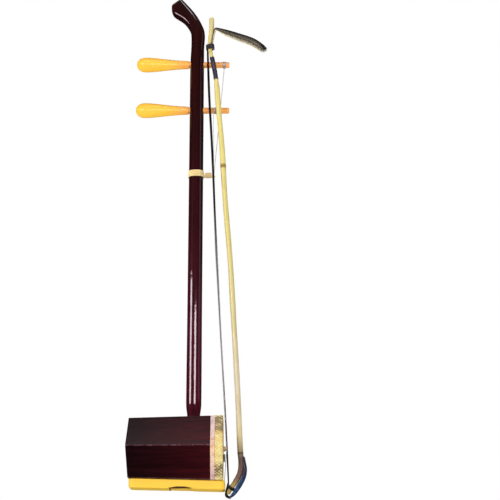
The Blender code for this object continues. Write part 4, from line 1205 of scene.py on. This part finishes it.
def make_tie(look):
    """The tie as eight turns of black thread round the stick and the hair."""
    top, length = 0.52005, 0.0076
    middle, half_out, half_side = 0.0101, 0.0059, 0.0039
    turns, steps, thread = 8, 28, 0.00055

    def point(angle, share):
        a, b = oval(angle, 3.0)
        return bow_point(top - length * share, middle + a * half_out, b * half_side)

    path = coil(turns, steps, point)
    place_tube("tie_turns", path, thread, 7, look, "bow", ("bow_tip_tie",), "black_horsehair")


def stick_at(along):
    """The stick's middle and radius, as (along, out, radius)."""
    rows = smooth_path(STICK_LINE, 8)
    for high, low in zip(rows, rows[1:]):
        if low.x <= along <= high.x:
            return high.lerp(low, (high.x - along) / (high.x - low.x))
    return rows[0]


def make_sleeve(look):
    """The dark sleeve: tape wound in a slow spiral, so each turn steps up a little over the one before."""
    start, stop = 0.499, 0.463
    pitch = 0.0062
    tape = 0.00028
    steps, sides = 90, 24
    outer = []
    inner = []
    for i in range(steps + 1):
        along = start + (stop - start) * i / steps
        row = stick_at(along)
        ahead, behind = stick_at(along - 0.002), stick_at(along + 0.002)
        direction = (bow_point(ahead.x, ahead.y) - bow_point(behind.x, behind.y)).normalized()
        across = direction.cross(BOW_SIDE)
        centre = bow_point(row.x, row.y)
        around = [across * c + BOW_SIDE * s for c, s in circle(sides)]
        points = []
        for k, out in enumerate(around):
            step = ((start - along) / pitch + k / sides) % 1.0
            points.append(centre + out * (row.z + GAP * 0.7 + tape + tape * (1 - step) ** 1.5))
        outer.append(points)
        if i in (0, steps):
            inner.append([centre + out * (row.z + GAP * 0.5) for out in around])
    shape = Shape()
    shape.loft(outer + inner[::-1], closed=True)
    place("sleeve_tape", shape, look, "bow", ("bow_tip_sleeve",), "dark_sleeve", 60)


def make_frog(look):
    """The moulded shell, smooth all round."""
    shape = Shape()
    rings = []
    for row in smooth_path(FROG_SHELL, 8):
        inner, outer = bow_point(row[0], row[1]), bow_point(row[2], row[3])
        rings.append(ring((inner + outer) / 2, (outer - inner) / 2, BOW_SIDE * row[4], 28, 2.2))
    shape.loft(rings)
    place("frog_moulded", shape, look, "bow", ("frog",), "frog_shell", 60)


def make_frog_binding(look):
    """Five turns of thread that knot the hair onto the hook's end."""
    near, far = Vector((-0.1360, 0.0042)), Vector((-0.1398, 0.0010))
    direction = (bow_point(*far) - bow_point(*near)).normalized()
    across = direction.cross(BOW_SIDE)
    turns, steps, thread = 5, 24, 0.00048
    knot_r = 0.0034             # the stick and hair under the thread
    radius = knot_r + GAP + 0.00045

    def point(angle, share):
        spot = near.lerp(far, 0.08 + 0.84 * share)
        return bow_point(*spot) + (across * cos(angle) + BOW_SIDE * sin(angle)) * radius

    path = coil(turns, steps, point)
    place_tube("hook_thread", path, thread, 7, look, "bow", ("frog_binding",), "black_horsehair")


# ---- all together


def dress_cad():
    """Materials for the CAD pieces that keep their shape. The windings are of the strings' metal."""
    dress("rear_lattice", lacquer_look("lattice_lacquer", "z", (0.009, 0.002, 0.002), (0.014, 0.003, 0.003),
                                       ("Z", 0.02, 0.09)))
    dress("base", base_look())
    dress("bridge", yellow_wood_look("bridge_maple", "y", (0.66, 0.47, 0.25), (0.42, 0.26, 0.11)))
    dress("skin_binding", cloth_look("binding_cloth", (0.66, 0.55, 0.54), (0.78, 0.56, 0.38),
                                     (0.56, 0.40, 0.38), 144))
    dress("damper_pad", felt_look())
    wound = metal_look("string_wound", (0.58, 0.50, 0.46), 0.42, metallic=0.45)
    plain = metal_look("string_plain", (0.62, 0.56, 0.54), 0.36, metallic=0.45)
    dress("inner_string", wound)
    dress("outer_string", plain)
    dress("foot_screw", metal_look("screw_steel", (0.56, 0.55, 0.53), 0.3, (300, 300, 300)))
    dress("string_toggle", metal_look("pin_brass", (0.72, 0.50, 0.20), 0.28, (300, 60, 300)))
    make_winding("upper", wound)
    make_winding("lower", plain)


def build():
    """Everything, in the order in which the pieces are made."""
    make_camera()
    make_world()
    make_lights()
    make_floor()
    dress_cad()
    make_neck()
    make_box()
    make_skin()
    peg = yellow_wood_look("peg_boxwood", "x", (0.83, 0.485, 0.035), (0.77, 0.39, 0.016),
                           (0.84, 0.36, 0.07))
    for which in PEG_Z:
        make_peg(which, peg)
    gold = thread_look("qianjin_waxed", (0.96, 0.84, 0.38), (0.70, 0.53, 0.19))
    make_qianjin(gold)
    make_qianjin_loop(gold)
    make_whipping(thread_look("whipping_thread", (0.94, 0.76, 0.34), (0.42, 0.22, 0.06)))
    black = thread_look("black_thread", (0.030, 0.028, 0.032), (0.006, 0.006, 0.007), 0.5, 0.1)
    make_stick(bamboo_look())
    make_hair(hair_look("bow_horsehair", (0.004, 0.0035, 0.003), (0.03, 0.028, 0.025), 0.1, silver=True))
    make_hair_end(hair_look("end_horsehair", (0.012, 0.010, 0.008), (0.05, 0.035, 0.02), 0.2))
    make_tail(hair_look("tail_horsehair", (0.008, 0.009, 0.008), (0.78, 0.72, 0.50), 0.55, "tone"),
              hair_look("tail_shadow", (0.040, 0.038, 0.026), (0.10, 0.09, 0.06), 0.3))
    make_tie(black)
    make_sleeve(sleeve_look())
    make_frog(frog_look())
    make_frog_binding(black)


build()
